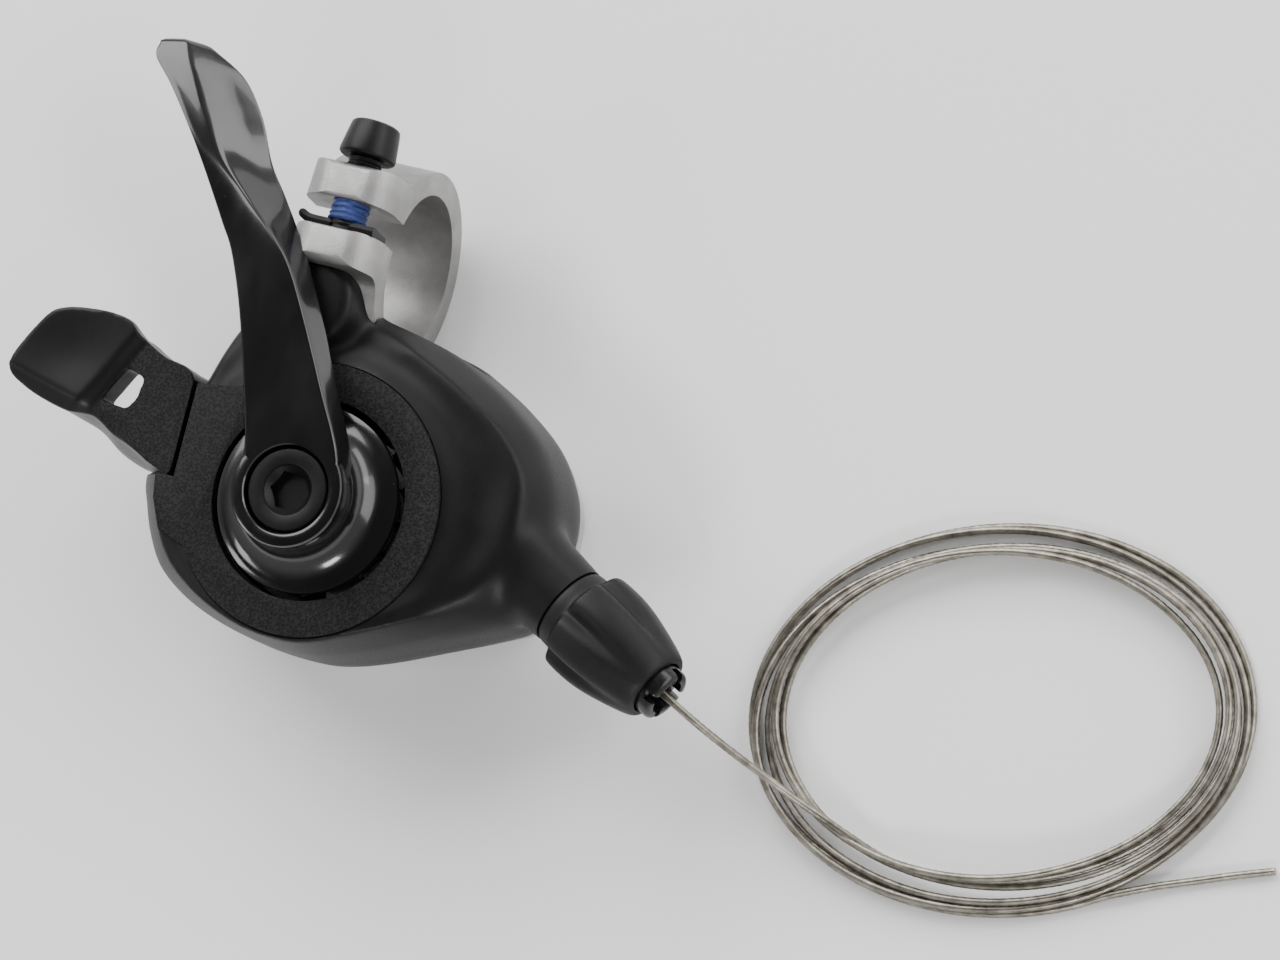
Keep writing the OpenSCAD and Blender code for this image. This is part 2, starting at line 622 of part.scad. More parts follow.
module cable_coil() {
    color("#8d8b84") place() translate([coil_at[0], coil_at[1], 0.05]) rotate([0, 0, coil_turn])
        linear_extrude(coil_h) difference() {
            oval(coil_long, coil_short);
            oval(coil_long - coil_w, coil_short - coil_w);
        }
}

top_cover();
housing_shell();
face_plate();
base_plate();
upper_plate();
main_axle();
spacer_posts();
mechanism_screws();
release_post();
bar_clamp();
clamp_bolt();
clamp_nut_plate();
threadlock_patch();
clamp_mount_screw();
lever_screw();
lever_washer();
lever_return_spring();
spool_return_spring();
release_return_spring();
adjuster_insert();
adjuster_detent_spring();
cable_inner();
pull_lever();
lever_bush();
pawl_carrier();
drive_pawl();
drive_pawl_pin();
drive_pawl_spring();
cable_spool();
spool_bush();
ratchet_wheel();
cable_nipple();
cable_wrap();
release_lever();
release_arm();
holding_pawl();
adjuster_knob();
adjuster_ferrule();
cable_run();
cable_coil();
cable_tail();
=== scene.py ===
"""Looks of a bicycle trigger shifter with a coiled cable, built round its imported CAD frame.

Lengths in the shapes below are millimetres, measured from the levers' pivot on the outer face of
the top cover. finish_piece() takes them to the row frame, in metres from the bar clamp's centre.
"""
import math

import bmesh
import bpy
from mathutils import Matrix, Vector, noise


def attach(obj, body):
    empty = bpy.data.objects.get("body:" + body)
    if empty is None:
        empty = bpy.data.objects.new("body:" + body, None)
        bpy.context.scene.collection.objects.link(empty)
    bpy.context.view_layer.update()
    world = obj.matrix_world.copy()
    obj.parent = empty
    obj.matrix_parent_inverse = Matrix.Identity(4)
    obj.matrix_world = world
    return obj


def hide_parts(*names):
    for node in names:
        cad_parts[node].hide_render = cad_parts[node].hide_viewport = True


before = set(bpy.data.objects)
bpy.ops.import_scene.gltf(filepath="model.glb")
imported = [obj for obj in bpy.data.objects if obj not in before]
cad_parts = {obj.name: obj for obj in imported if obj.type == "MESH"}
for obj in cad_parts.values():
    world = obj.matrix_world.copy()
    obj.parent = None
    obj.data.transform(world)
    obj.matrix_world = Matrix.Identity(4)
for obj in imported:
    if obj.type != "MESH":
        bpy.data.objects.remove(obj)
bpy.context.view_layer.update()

MM = 0.001
CLAMP_AT = Vector((-4.3, 34.5, 14.5))
PLATE_Z = 28.5
PLATE_R = 19.0
DISH_GAP_R = 14.0
LEVER_Z = 37.5
CAVITY_R = 17.7
PLATE_FLOOR = 26.2
CABLE_Z = 18.5
LINE_ANGLE = -28
LINE_DIR = Vector((math.cos(math.radians(LINE_ANGLE)), math.sin(math.radians(LINE_ANGLE)), 0))
TANGENT_AT = Vector((-12.5 * LINE_DIR.y, 12.5 * LINE_DIR.x, CABLE_Z))
NOSE_S = 35.0
KNOB_S = 35.2
KNOB_LEN = 17.2
FERRULE_S = 54.6
BAR_R = 11.1
CLAMP_R = 14.3
CLAMP_LEFT = -7.1
CLAMP_RIGHT = 6.0
EAR_TILT = 8
EAR_LOW = -0.3
EAR_HIGH = 3.9
EAR_T = 5.1
EAR_LEN = 18.8
BOLT_W = 15.6
BOLT_R = 2.45
LOW_EAR_T = 5
AIM_AT = Vector((0, 0, 6.5))
AIM_RIGHT = 37.9
AIM_UP = 6.19

# Directions and places that several pieces share
ON_LINE = (Matrix.Translation(TANGENT_AT) @ Matrix.Rotation(math.radians(LINE_ANGLE), 4, "Z")
           @ Matrix.Rotation(math.radians(90), 4, "Y"))
IN_CLAMP = Matrix.Translation(CLAMP_AT) @ Matrix.Rotation(math.radians(-EAR_TILT), 4, "X")
ON_BOLT = IN_CLAMP @ Matrix.Translation((0, 0, BOLT_W)) @ Matrix.Rotation(math.radians(-90), 4, "X")


def along(matrix, distance):
    """The matrix moved along its own +Z."""
    return matrix @ Matrix.Translation((0, 0, distance))


# ---------------------------------------------------------------- camera

VIEW_RIGHT = Vector((0.910, 0.250, -0.329)).normalized()
VIEW_BACK = VIEW_RIGHT.cross(Vector((-0.207, 0.964, 0.161))).normalized()
VIEW_UP = VIEW_BACK.cross(VIEW_RIGHT)
VIEW_WIDTH = 175.3
LENS = 600.0
SENSOR = 36.0


def make_camera():
    data = bpy.data.cameras.new("camera")
    data.lens = LENS
    data.sensor_width = SENSOR
    data.clip_end = 20
    camera = bpy.data.objects.new("camera", data)
    bpy.context.collection.objects.link(camera)
    aim = AIM_AT + VIEW_RIGHT * AIM_RIGHT + VIEW_UP * AIM_UP - CLAMP_AT
    place = (aim + VIEW_BACK * VIEW_WIDTH * LENS / SENSOR) * MM
    turn = Matrix((VIEW_RIGHT, VIEW_UP, VIEW_BACK)).transposed().to_4x4()
    camera.matrix_world = Matrix.Translation(place) @ turn
    bpy.context.scene.camera = camera


make_camera()


# ---------------------------------------------------------------- curves and meshes

def mix(a, b, t):
    return a * (1 - t) + b * t


def step(t):
    """A share from 0 to 1 that starts and ends level."""
    t = min(max(t, 0.0), 1.0)
    return t * t * (3 - 2 * t)


def spline_point(a, b, c, d, t):
    """Point of the Catmull-Rom curve between b and c."""
    return 0.5 * (2 * b + (c - a) * t + (2 * a - 5 * b + 4 * c - d) * t ** 2
                  + (3 * b - a - 3 * c + d) * t ** 3)


def smooth_loop(points, steps):
    n = len(points)
    return [spline_point(points[i - 1], points[i], points[(i + 1) % n], points[(i + 2) % n], k / steps)
            for i in range(n) for k in range(steps)]


def smooth_line(points, steps):
    last = len(points) - 1
    found = [spline_point(points[max(i - 1, 0)], points[i], points[i + 1], points[min(i + 2, last)],
                          k / steps) for i in range(last) for k in range(steps)]
    return found + [points[last]]


def arc(centre, radius, start, end, steps):
    """Points of a flat arc, its angles in degrees."""
    found = []
    for k in range(steps + 1):
        a = math.radians(mix(start, end, k / steps))
        found.append((centre[0] + radius * math.cos(a), centre[1] + radius * math.sin(a)))
    return found


def round_corner(before, corner, after, radius, steps=4):
    """Points that turn a corner in a curve which begins a radius away from it on both sides."""
    start = corner + (before - corner).normalized() * radius
    end = corner + (after - corner).normalized() * radius
    return [start * (1 - t) ** 2 + corner * 2 * t * (1 - t) + end * t * t
            for t in (k / steps for k in range(steps + 1))]


def new_object(name, verts, faces):
    mesh = bpy.data.meshes.new(name)
    mesh.from_pydata([tuple(v) for v in verts], [], faces)
    bm = bmesh.new()
    bm.from_mesh(mesh)
    bmesh.ops.recalc_face_normals(bm, faces=bm.faces)
    bm.to_mesh(mesh)
    bm.free()
    obj = bpy.data.objects.new(name, mesh)
    bpy.context.collection.objects.link(obj)
    return obj


def skin(name, rings):
    """Object whose skin runs over rings of equally many points. Its ends are fans from their middles."""
    n = len(rings[0])
    verts = [p for ring in rings for p in ring]
    last = (len(rings) - 1) * n
    faces = []
    for low in range(0, last, n):
        high = low + n
        faces += [(low + j, low + (j + 1) % n, high + (j + 1) % n, high + j) for j in range(n)]
    first_middle, last_middle = last + n, last + n + 1
    verts += [sum(rings[0], Vector()) / n, sum(rings[-1], Vector()) / n]
    faces += [(first_middle, (j + 1) % n, j) for j in range(n)]
    faces += [(last_middle, last + j, last + (j + 1) % n) for j in range(n)]
    return new_object(name, verts, faces)


def lathe(name, profile, matrix=Matrix(), steps=96, closed=False):
    """Turned object. Its profile is points of radius and height; closed, it goes round a hole."""
    rings = []
    for k in range(steps):
        a = math.tau * k / steps
        rings.append([matrix @ Vector((r * math.cos(a), r * math.sin(a), z)) for r, z in profile])
    if closed:
        return tube_of(name, rings)
    turned = [[ring[i] for ring in rings] for i in range(len(profile))]
    return skin(name, turned)


def tube_of(name, rings):
    """Object over closed rings that themselves go round in a loop."""
    n, m = len(rings[0]), len(rings)
    verts = [p for ring in rings for p in ring]
    faces = [(i * n + j, i * n + (j + 1) % n, (i + 1) % m * n + (j + 1) % n, (i + 1) % m * n + j)
             for i in range(m) for j in range(n)]
    return new_object(name, verts, faces)


def cylinder(radius, z0, z1, matrix=Matrix(), steps=96):
    return lathe("cutter", [(radius, z0), (radius, z1)], matrix, steps)


def prism(outline, z0, z1, matrix=Matrix(), name="cutter"):
    """Object between two copies of a flat outline."""
    n = len(outline)
    verts = [matrix @ Vector((x, y, z)) for z in (z0, z1) for x, y in outline]
    faces = [(j, (j + 1) % n, n + (j + 1) % n, n + j) for j in range(n)]
    faces += [tuple(reversed(range(n))), tuple(range(n, 2 * n))]
    return new_object(name, verts, faces)


def box(low, high, matrix=Matrix()):
    outline = [(low[0], low[1]), (high[0], low[1]), (high[0], high[1]), (low[0], high[1])]
    return prism(outline, low[2], high[2], matrix)


def hexagon(across):
    return arc((0, 0), across / math.sqrt(3), 0, 300, 5)


def apply_modifiers(obj):
    graph = bpy.context.evaluated_depsgraph_get()
    mesh = bpy.data.meshes.new_from_object(obj.evaluated_get(graph))
    obj.modifiers.clear()
    obj.data = mesh


def combine(obj, operation, *tools):
    """Adds, cuts away or keeps only what lies in the tools, which are then gone."""
    for tool in tools:
        modifier = obj.modifiers.new("combine", "BOOLEAN")
        modifier.operation = operation
        modifier.solver = "MANIFOLD"
        modifier.object = tool
        apply_modifiers(obj)
        bpy.data.objects.remove(tool)
    return obj


def cut(obj, *tools):
    return combine(obj, "DIFFERENCE", *tools)


def join(obj, *tools):
    return combine(obj, "UNION", *tools)


def bevel(obj, width, segments=3, angle=35):
    modifier = obj.modifiers.new("bevel", "BEVEL")
    modifier.width = width
    modifier.segments = segments
    modifier.limit_method = "ANGLE"
    modifier.angle_limit = math.radians(angle)
    modifier.use_clamp_overlap = True
    modifier.miter_outer = "MITER_ARC"
    apply_modifiers(obj)
    return obj


def soften(obj, rounds, weigh=None):
    """Relaxes the skin, by shares from 0 to 1 where a weigh() is given."""
    modifier = obj.modifiers.new("soften", "SMOOTH")
    modifier.iterations = rounds
    if weigh:
        group = obj.vertex_groups.new(name="soften")
        for vert in obj.data.vertices:
            group.add([vert.index], weigh(vert.co), "REPLACE")
        modifier.vertex_group = group.name
    apply_modifiers(obj)
    obj.vertex_groups.clear()


def melt(obj, voxel, rounds):
    """Rebuilds the skin from even quads and relaxes it."""
    modifier = obj.modifiers.new("remesh", "REMESH")
    modifier.mode = "VOXEL"
    modifier.voxel_size = voxel
    apply_modifiers(obj)
    soften(obj, rounds)


def finish_piece(obj, name, material, body, nodes, angle=35):
    """Takes a piece to the row frame, gives it its name, finish and body, and hides the CAD nodes it
    replaces.
    """
    obj.name = name
    obj.data.name = name
    obj.data.transform(Matrix.Scale(MM, 4) @ Matrix.Translation(-CLAMP_AT))
    obj.data.shade_smooth()
    obj.data.set_sharp_from_angle(angle=math.radians(angle))
    obj.data.materials.clear()
    obj.data.materials.append(material)
    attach(obj, body)
    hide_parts(*nodes)
    return obj


# ---------------------------------------------------------------- materials

class Finish:
    """A procedural material whose patterns are laid out in the object's own metres."""

    def __init__(self, name, **sockets):
        self.material = bpy.data.materials.new(name)
        self.material.use_nodes = True
        self.tree = self.material.node_tree
        self.shader = self.tree.nodes["Principled BSDF"]
        for socket, value in sockets.items():
            self.shader.inputs[socket.replace("_", " ")].default_value = value
        self.place = self.tree.nodes.new("ShaderNodeTexCoord").outputs["Object"]
        self.normal = None

    def node(self, kind, inputs=(), **settings):
        made = self.tree.nodes.new("ShaderNode" + kind)
        for name, value in settings.items():
            setattr(made, name, value)
        for key, value in dict(inputs).items():
            if isinstance(value, bpy.types.NodeSocket):
                self.tree.links.new(value, made.inputs[key])
            else:
                made.inputs[key].default_value = value
        return made

    def noise(self, size, detail=3.0, rough=0.55, stretch=(1, 1, 1)):
        """Noise from 0 to 1 whose features are about a size in millimetres."""
        scaled = self.node("Mapping", {"Vector": self.place, "Scale": stretch}).outputs[0]
        return self.node("TexNoise", {"Vector": scaled, "Scale": 1 / (size * MM), "Detail": detail,
                                      "Roughness": rough}).outputs["Fac"]

    def cells(self, size):
        """Distance to the middle of cells about a size in millimetres."""
        return self.node("TexVoronoi", {"Vector": self.place, "Scale": 1 / (size * MM)}).outputs["Distance"]

    def spread(self, value, low, high, to_low=0.0, to_high=1.0):
        return self.node("MapRange", {"Value": value, "From Min": low, "From Max": high,
                                      "To Min": to_low, "To Max": to_high}).outputs["Result"]

    def colour(self, value, dark, light):
        """Base colour between two colours, as a value goes from 0 to 1."""
        mixed = self.node("Mix", {"Factor": value}, data_type="RGBA")
        mixed.inputs["A"].default_value = (*dark, 1)
        mixed.inputs["B"].default_value = (*light, 1)
        self.tree.links.new(mixed.outputs["Result"], self.shader.inputs["Base Color"])

    def roughness(self, value):
        self.tree.links.new(value, self.shader.inputs["Roughness"])

    def relief(self, value, depth, strength=1.0):
        """Bumps of a depth in millimetres, over the bumps laid before."""
        inputs = {"Height": value, "Distance": depth * MM, "Strength": strength}
        if self.normal:
            inputs["Normal"] = self.normal
        self.normal = self.node("Bump", inputs).outputs["Normal"]
        self.tree.links.new(self.normal, self.shader.inputs["Normal"])


def grey(value, warmth=0.0):
    """A grey, a little warmer or cooler."""
    return (value * (1 + warmth), value, value * (1 - warmth))


def moulded(name, dark, light, rough_low, rough_high, grain, depth, **sockets):
    """Moulded plastic: cloudy gloss, and a grain eroded into the mould."""
    made = Finish(name, **sockets)
    cloud = made.noise(9, 4)
    made.colour(made.spread(cloud, 0.3, 0.7), dark, light)
    fine = made.noise(grain, 2, 0.6)
    made.roughness(made.spread(fine, 0.3, 0.7, rough_low, rough_high))
    made.relief(fine, depth)
    made.relief(made.noise(14, 2), 0.03)
    return made.material


def metal(name, dark, light, rough_low, rough_high, grain, depth, stretch=(1, 1, 1), **sockets):
    """Metal: a grain that may be drawn out one way, and tarnish in clouds."""
    made = Finish(name, **sockets)
    fine = made.noise(grain, 4, 0.6, stretch)
    cloud = made.noise(5, 4)
    made.colour(made.spread(cloud, 0.3, 0.7), dark, light)
    made.roughness(made.spread(fine, 0.3, 0.7, rough_low, rough_high))
    made.relief(fine, depth)
    return made.material


def sparked_plastic(name, dark, light):
    """Plastic from a spark-eroded mould: coarse matt grain, with painted shade in its pits and a painted
    highlight on its crests.
    """
    made = Finish(name, Specular_IOR_Level=0.15)
    pits = made.cells(0.34)
    fine = made.noise(0.16, 3, 0.7)
    # painted light: the colour follows the grain's height, with painted shade in the pits and a painted
    # highlight on the crests
    painted_crest_light = made.spread(pits, 0.15, 0.75)
    made.colour(made.node("Math", {0: painted_crest_light, 1: fine}, operation="MULTIPLY").outputs[0], dark, light)
    made.roughness(made.spread(fine, 0.3, 0.7, 0.5, 0.7))
    made.relief(pits, 0.05)
    made.relief(fine, 0.035)
    return made.material


def gloss_paint(name, dark, light):
    """Thick gloss paint on a forging: faint orange peel, and a little dust."""
    made = Finish(name, Coat_Weight=0.35, Coat_Roughness=0.04)
    dust = made.spread(made.cells(2.6), 0.0, 0.022, 1.0, 0.0)
    made.colour(dust, dark, light)
    smear = made.noise(7, 4, 0.6, (1, 0.4, 1))
    made.roughness(made.spread(smear, 0.35, 0.7, 0.13, 0.24))
    made.relief(made.noise(1.6, 2), 0.004)
    return made.material


def wire_steel(name):
    """Stainless strand: drawn wires, with grease and dirt in clouds along it."""
    made = Finish(name, Metallic=0.85)
    fine = made.noise(0.12, 3, 0.6)
    cloud = made.noise(2.2, 4, 0.6)
    made.colour(made.spread(cloud, 0.3, 0.72), (0.13, 0.118, 0.096), (0.38, 0.352, 0.3))
    made.roughness(made.spread(fine, 0.3, 0.7, 0.26, 0.42))
    made.relief(fine, 0.02)
    return made.material


def dry_adhesive(name):
    """Blue thread adhesive, crumbly and uneven."""
    made = Finish(name)
    lumps = made.noise(0.45, 4, 0.65)
    made.colour(made.spread(lumps, 0.3, 0.7), (0.002, 0.01, 0.07), (0.008, 0.035, 0.2))
    made.roughness(made.spread(lumps, 0.3, 0.7, 0.35, 0.6))
    made.relief(lumps, 0.12)
    return made.material


BLASTED_ALLOY = metal("blasted_alloy", grey(0.24, 0.02), grey(0.36, 0.015), 0.36, 0.52, 0.18, 0.045,
                      Metallic=0.9)
SILVER_PAINT = metal("silver_paint", grey(0.4, 0.01), grey(0.5, 0.01), 0.28, 0.4, 0.2, 0.008,
                     Metallic=0.7, Coat_Weight=0.3, Coat_Roughness=0.2)
SATIN_PLASTIC = moulded("satin_plastic", grey(0.003), grey(0.006), 0.36, 0.48, 0.22, 0.012,
                        Specular_IOR_Level=0.2)
SMOOTH_PLASTIC = moulded("smooth_plastic", grey(0.004), grey(0.007), 0.32, 0.42, 0.3, 0.006,
                         Specular_IOR_Level=0.24)
GRIP_PLASTIC = moulded("grip_plastic", grey(0.005), grey(0.009), 0.42, 0.55, 0.25, 0.02,
                       Specular_IOR_Level=0.22)
GLOSSY_PLASTIC = moulded("glossy_plastic", grey(0.003), grey(0.006), 0.2, 0.3, 0.5, 0.005,
                         Specular_IOR_Level=0.4)
# the dark colour is painted shade in the grain's pits, the light one a painted highlight on its crests
SPARKED_PLASTIC = sparked_plastic("sparked_plastic", grey(0.002), grey(0.032))
GLOSS_PAINT = gloss_paint("gloss_paint", grey(0.003), grey(0.25))
BLACK_OXIDE = metal("black_oxide", grey(0.002), grey(0.005), 0.32, 0.5, 0.2, 0.014,
                    Specular_IOR_Level=0.22)
STAMPED_STEEL = metal("stamped_steel", grey(0.42, 0.02), grey(0.55, 0.01), 0.25, 0.4, 0.3, 0.006,
                      (1, 6, 1), Metallic=1.0)
TURNED_STEEL = metal("turned_steel", grey(0.5), grey(0.62), 0.18, 0.32, 0.25, 0.006, (1, 1, 8),
                     Metallic=1.0)
SPRING_STEEL = metal("spring_steel", grey(0.32, 0.03), grey(0.5, 0.02), 0.22, 0.36, 0.2, 0.005,
                     Metallic=1.0)
SINTERED_BRONZE = metal("sintered_bronze", (0.4, 0.26, 0.1), (0.62, 0.44, 0.2), 0.35, 0.5, 0.15, 0.02,
                        Metallic=1.0)
ACETAL = moulded("acetal", grey(0.02), grey(0.03), 0.3, 0.42, 0.4, 0.006)
WIRE_STEEL = wire_steel("wire_steel")
ADHESIVE = dry_adhesive("adhesive")


# ---------------------------------------------------------------- cable

CABLE_D = 1.1
EXIT_AT = TANGENT_AT + LINE_DIR * FERRULE_S
RUN_ROUTE = [EXIT_AT, (56.8, -16, 18.5), (59.4, -17.4, 17.4), (62, -18.8, 14.6), (64.6, -20.2, 11.6),
             (67.2, -21.4, 8.6), (70, -22.8, 6.2), (74, -24.4, 4.2), (78.6, -26.2, 2.9), (83.6, -28, 2.2)]
TAIL_ROUTE = [(116, -26, 1.2), (119, -24.8, 1.1), (122.6, -23.2, 0.9), (127, -21.6, 0.7),
              (133, -19.4, 0.7), (138.8, -17.5, 0.7)]
COIL_AT = Vector((95.5, -6, 0))
COIL_TURN = 12
COIL_LONG = 36.8
COIL_SHORT = 27.2
COIL_START = -114
COIL_END = -68
COIL_TURNS = 6
COIL_STEPS = 120
COIL_RISE = 0.055
CABLE_SPACING = 0.5
CABLE_EASING = 24


def coil_depth(turn):
    """How far inside the coil's outer edge the cable lies, after a number of turns."""
    drift = 5.0 - 4.3 * step(turn / (COIL_TURNS + 0.12))
    sway = 0.75 * math.sin(math.tau * 1.21 * turn) + 0.45 * math.sin(math.tau * 0.63 * turn + 0.4)
    settle = step(turn * 3) * step((COIL_TURNS + 0.12 - turn) * 3)
    return min(max(drift + sway * settle, 0.5), 5.3)


def coil_heights(depths):
    """Height of each point of the coil: on the floor, or on the turns that were laid before it. The
    last turn is laid first."""
    heights = [0.6] * len(depths)
    reach = CABLE_D * 1.02
    for i in reversed(range(len(depths))):
        for j in range(i + COIL_STEPS, len(depths), COIL_STEPS):
            apart = abs(depths[i] - depths[j])
            if apart < reach:
                heights[i] = max(heights[i], heights[j] + math.sqrt(reach ** 2 - apart ** 2))
        if i + 1 < len(depths):
            heights[i] = max(heights[i], heights[i + 1] - COIL_RISE)
        j = i + 1
        while j < len(depths) and heights[j] < heights[j - 1] - COIL_RISE:
            heights[j] = heights[j - 1] - COIL_RISE
            j += 1
    return heights


def coil_route():
    span = COIL_TURNS + (COIL_END - COIL_START) / 360
    count = round(span * COIL_STEPS) + 1
    depths = [coil_depth(i / COIL_STEPS) for i in range(count)]
    turn = Matrix.Rotation(math.radians(COIL_TURN), 3, "Z")
    points = []
    for i, (depth, height) in enumerate(zip(depths, coil_heights(depths))):
        a = math.radians(COIL_START + 360 * i / COIL_STEPS)
        flat = turn @ Vector(((COIL_LONG - depth) * math.cos(a), (COIL_SHORT - depth) * math.sin(a), 0))
        points.append(COIL_AT + flat + Vector((0, 0, height)))
    return points


def even_route(points, spacing):
    """The same route with its points a fixed distance apart."""
    found, spare = [points[0]], 0.0
    for a, b in zip(points, points[1:]):
        length = (b - a).length
        t = spacing - spare
        while t <= length:
            found.append(a.lerp(b, t / length))
            t += spacing
        spare = (spare + length) % spacing
    return found


def relaxed(points, rounds):
    """The route with its kinks eased and its ends kept."""
    for _ in range(rounds):
        inner = [(a + b * 2 + c) / 4 for a, b, c in zip(points, points[1:], points[2:])]
        points = [points[0], *inner, points[-1]]
    return points


def cable_route():
    run = smooth_line([Vector(p) for p in RUN_ROUTE], 8)
    tail = smooth_line([Vector(p) for p in TAIL_ROUTE], 8)
    return relaxed(even_route(run + coil_route() + tail, CABLE_SPACING), CABLE_EASING)


CABLE_SIDES = 18
CABLE_STRANDS = 6
CABLE_LAY = 7.0


def make_cable():
    """One tube whose section has a lobe for each strand and turns as it goes along."""
    route = cable_route()
    side = Vector((0, 0, 1))
    rings = []
    for i, place in enumerate(route):
        ahead = (route[min(i + 1, len(route) - 1)] - route[max(i - 1, 0)]).normalized()
        side = (side - ahead * side.dot(ahead)).normalized()
        up = ahead.cross(side)
        twist = math.tau * i * CABLE_SPACING / CABLE_LAY
        ring = []
        for k in range(CABLE_SIDES):
            a = math.tau * k / CABLE_SIDES
            lobe = abs(math.cos(CABLE_STRANDS / 2 * (a - twist)))
            radius = CABLE_D / 2 * (0.8 + 0.2 * lobe)
            ring.append(place + (side * math.cos(a) + up * math.sin(a)) * radius)
        rings.append(ring)
    cable = finish_piece(skin("cable", rings), "shift_cable", WIRE_STEEL, "housing",
                         ["cable_run", "cable_coil", "cable_tail"], angle=60)


make_cable()


# ---------------------------------------------------------------- housing and top cover

WAIST = [(-27.3, -1.4), (-26.2, -5), (-24.6, -8.8), (-21.9, -12.9), (-17.4, -16.1), (-12, -18.3),
         (-6, -19.7), (0, -20.2), (4.8, -19.8), (11, -17.9), (18.9, -14.6), (25.5, -11.8), (30.4, -9.2),
         (32, -3.8), (32.4, 3.2), (31.8, 8.2), (29.6, 12.6), (26.4, 16.4), (21.4, 20), (16.2, 22.8),
         (10.8, 25.2), (5, 26.8), (-1, 27), (-7, 27.6), (-12.5, 26.4), (-17.2, 22.6), (-20.8, 17),
         (-23.6, 10.4), (-26.4, 4)]
RIM = [(-23.2, -1.4), (-22.4, -4.8), (-20.9, -8.4), (-18.4, -11.8), (-14.8, -14.6), (-10.4, -17),
       (-5.4, -18.8), (0, -19.5), (4.6, -19), (9.8, -17), (15.8, -14.0), (21.6, -10.4), (26, -6),
       (28.6, -0.4), (29, 5.4), (28.4, 9), (26, 12.4), (21.9, 16), (16.5, 19.4), (10.6, 22.2), (4.6, 24.6),
       (-1.5, 26.6), (-6.4, 27.8), (-10, 27.4), (-13.2, 26), (-16.2, 22.8), (-18.2, 17), (-19.4, 12.4),
       (-21, 5)]
MIDDLE = Vector((2, 2))
BOSS_AT = Vector((-6.6, 26.6))
OUTLINE_STEPS = 5


def housing_outline(to_rim, inset):
    found = []
    for a, b in zip(WAIST, RIM):
        p = mix(Vector(a), Vector(b), to_rim)
        found.append(p - (p - MIDDLE).normalized() * inset)
    return smooth_loop(found, OUTLINE_STEPS)


def rim_height(p):
    """Height of the ridge round the housing's top: lower beyond the plate, on the cable's side."""
    return 28.2 - 2.0 * step((p.length - PLATE_R - 0.6) / 4)


def housing_blank():
    rings = []
    for z, to_rim, inset in ((6, 0.1, 1.2), (6.5, 0.09, 0.95), (7.4, 0.07, 0.65), (8.6, 0.04, 0.35),
                             (10.4, 0.01, 0.1), (12.6, 0, 0), (15, 0, 0), (17.4, 0, 0), (19.4, 0.02, 0)):
        rings.append([p.to_3d() + Vector((0, 0, z)) for p in housing_outline(to_rim, inset)])
    top = housing_outline(1, 0)
    side = housing_outline(0, 0)
    for share in (0.14, 0.3, 0.46, 0.62, 0.78, 0.9, 1.0):
        rings.append([mix(s, t, share ** 1.25).to_3d() + Vector((0, 0, mix(20, rim_height(t), share)))
                      for s, t in zip(side, top)])
    # from the ridge inwards the top first dips, then rises to the face plate's edge
    for share in (0.1, 0.22, 0.36, 0.5, 0.64, 0.78, 0.9, 1.0):
        ring = []
        for t in top:
            edge = t.normalized() * (PLATE_R - 0.4)
            gap = max(t.length - PLATE_R, 0)
            dip = 0.13 * gap * math.sin(math.pi * share) ** 1.5
            ring.append(mix(t, edge, share).to_3d() + Vector((0, 0, mix(rim_height(t), 28.3, share) - dip)))
        rings.append(ring)
    rings.append([p.to_3d() * 0.4 + Vector((0, 0, 28.3 * 0.6)) for p in rings[-1]])
    return skin("housing", rings)


def seam_share(p):
    """1 where the nose and the boss grow out of the housing, fading to 0 away from there."""
    local = ON_LINE.inverted() @ p
    nose = step((17 - math.hypot(local.x, local.y)) / 5) * step((local.z - 8) / 8) * step((33 - local.z) / 4)
    boss = step((16 - (p.to_2d() - BOSS_AT).length) / 6) * step((30.4 - p.z) / 2) * step((p.z - 16) / 6)
    return max(nose, boss)


def bar_cylinder(x0, x1, radius):
    turn = Matrix.Translation((0, CLAMP_AT.y, CLAMP_AT.z)) @ Matrix.Rotation(math.radians(90), 4, "Y")
    return cylinder(radius, x0, x1, turn, 160)


def ear_seats(grow):
    """The space of the clamp's two ears, grown all round."""
    left, right = CLAMP_LEFT - grow, CLAMP_RIGHT + grow
    found = []
    for y0, y1 in ((EAR_LOW - LOW_EAR_T - grow, EAR_LOW + grow),
                   (EAR_HIGH - grow, EAR_HIGH + EAR_T + grow)):
        found.append(box((left, y0, BAR_R - 2), (right, y1, EAR_LEN + grow), IN_CLAMP))
    return found


def plate_outline(grow):
    """The face plate's outline: most of a circle, and a tongue along the release lever's joint."""
    edge = arc((0, 0), PLATE_R + grow, -148, 137, 110)
    return edge + [(-20, 12.2 + grow), (-20, -1), (-22.8 - grow, -1 - grow), (-22.2 - grow, -4.4),
                   (-20.4 - grow, -8.4 - grow)]


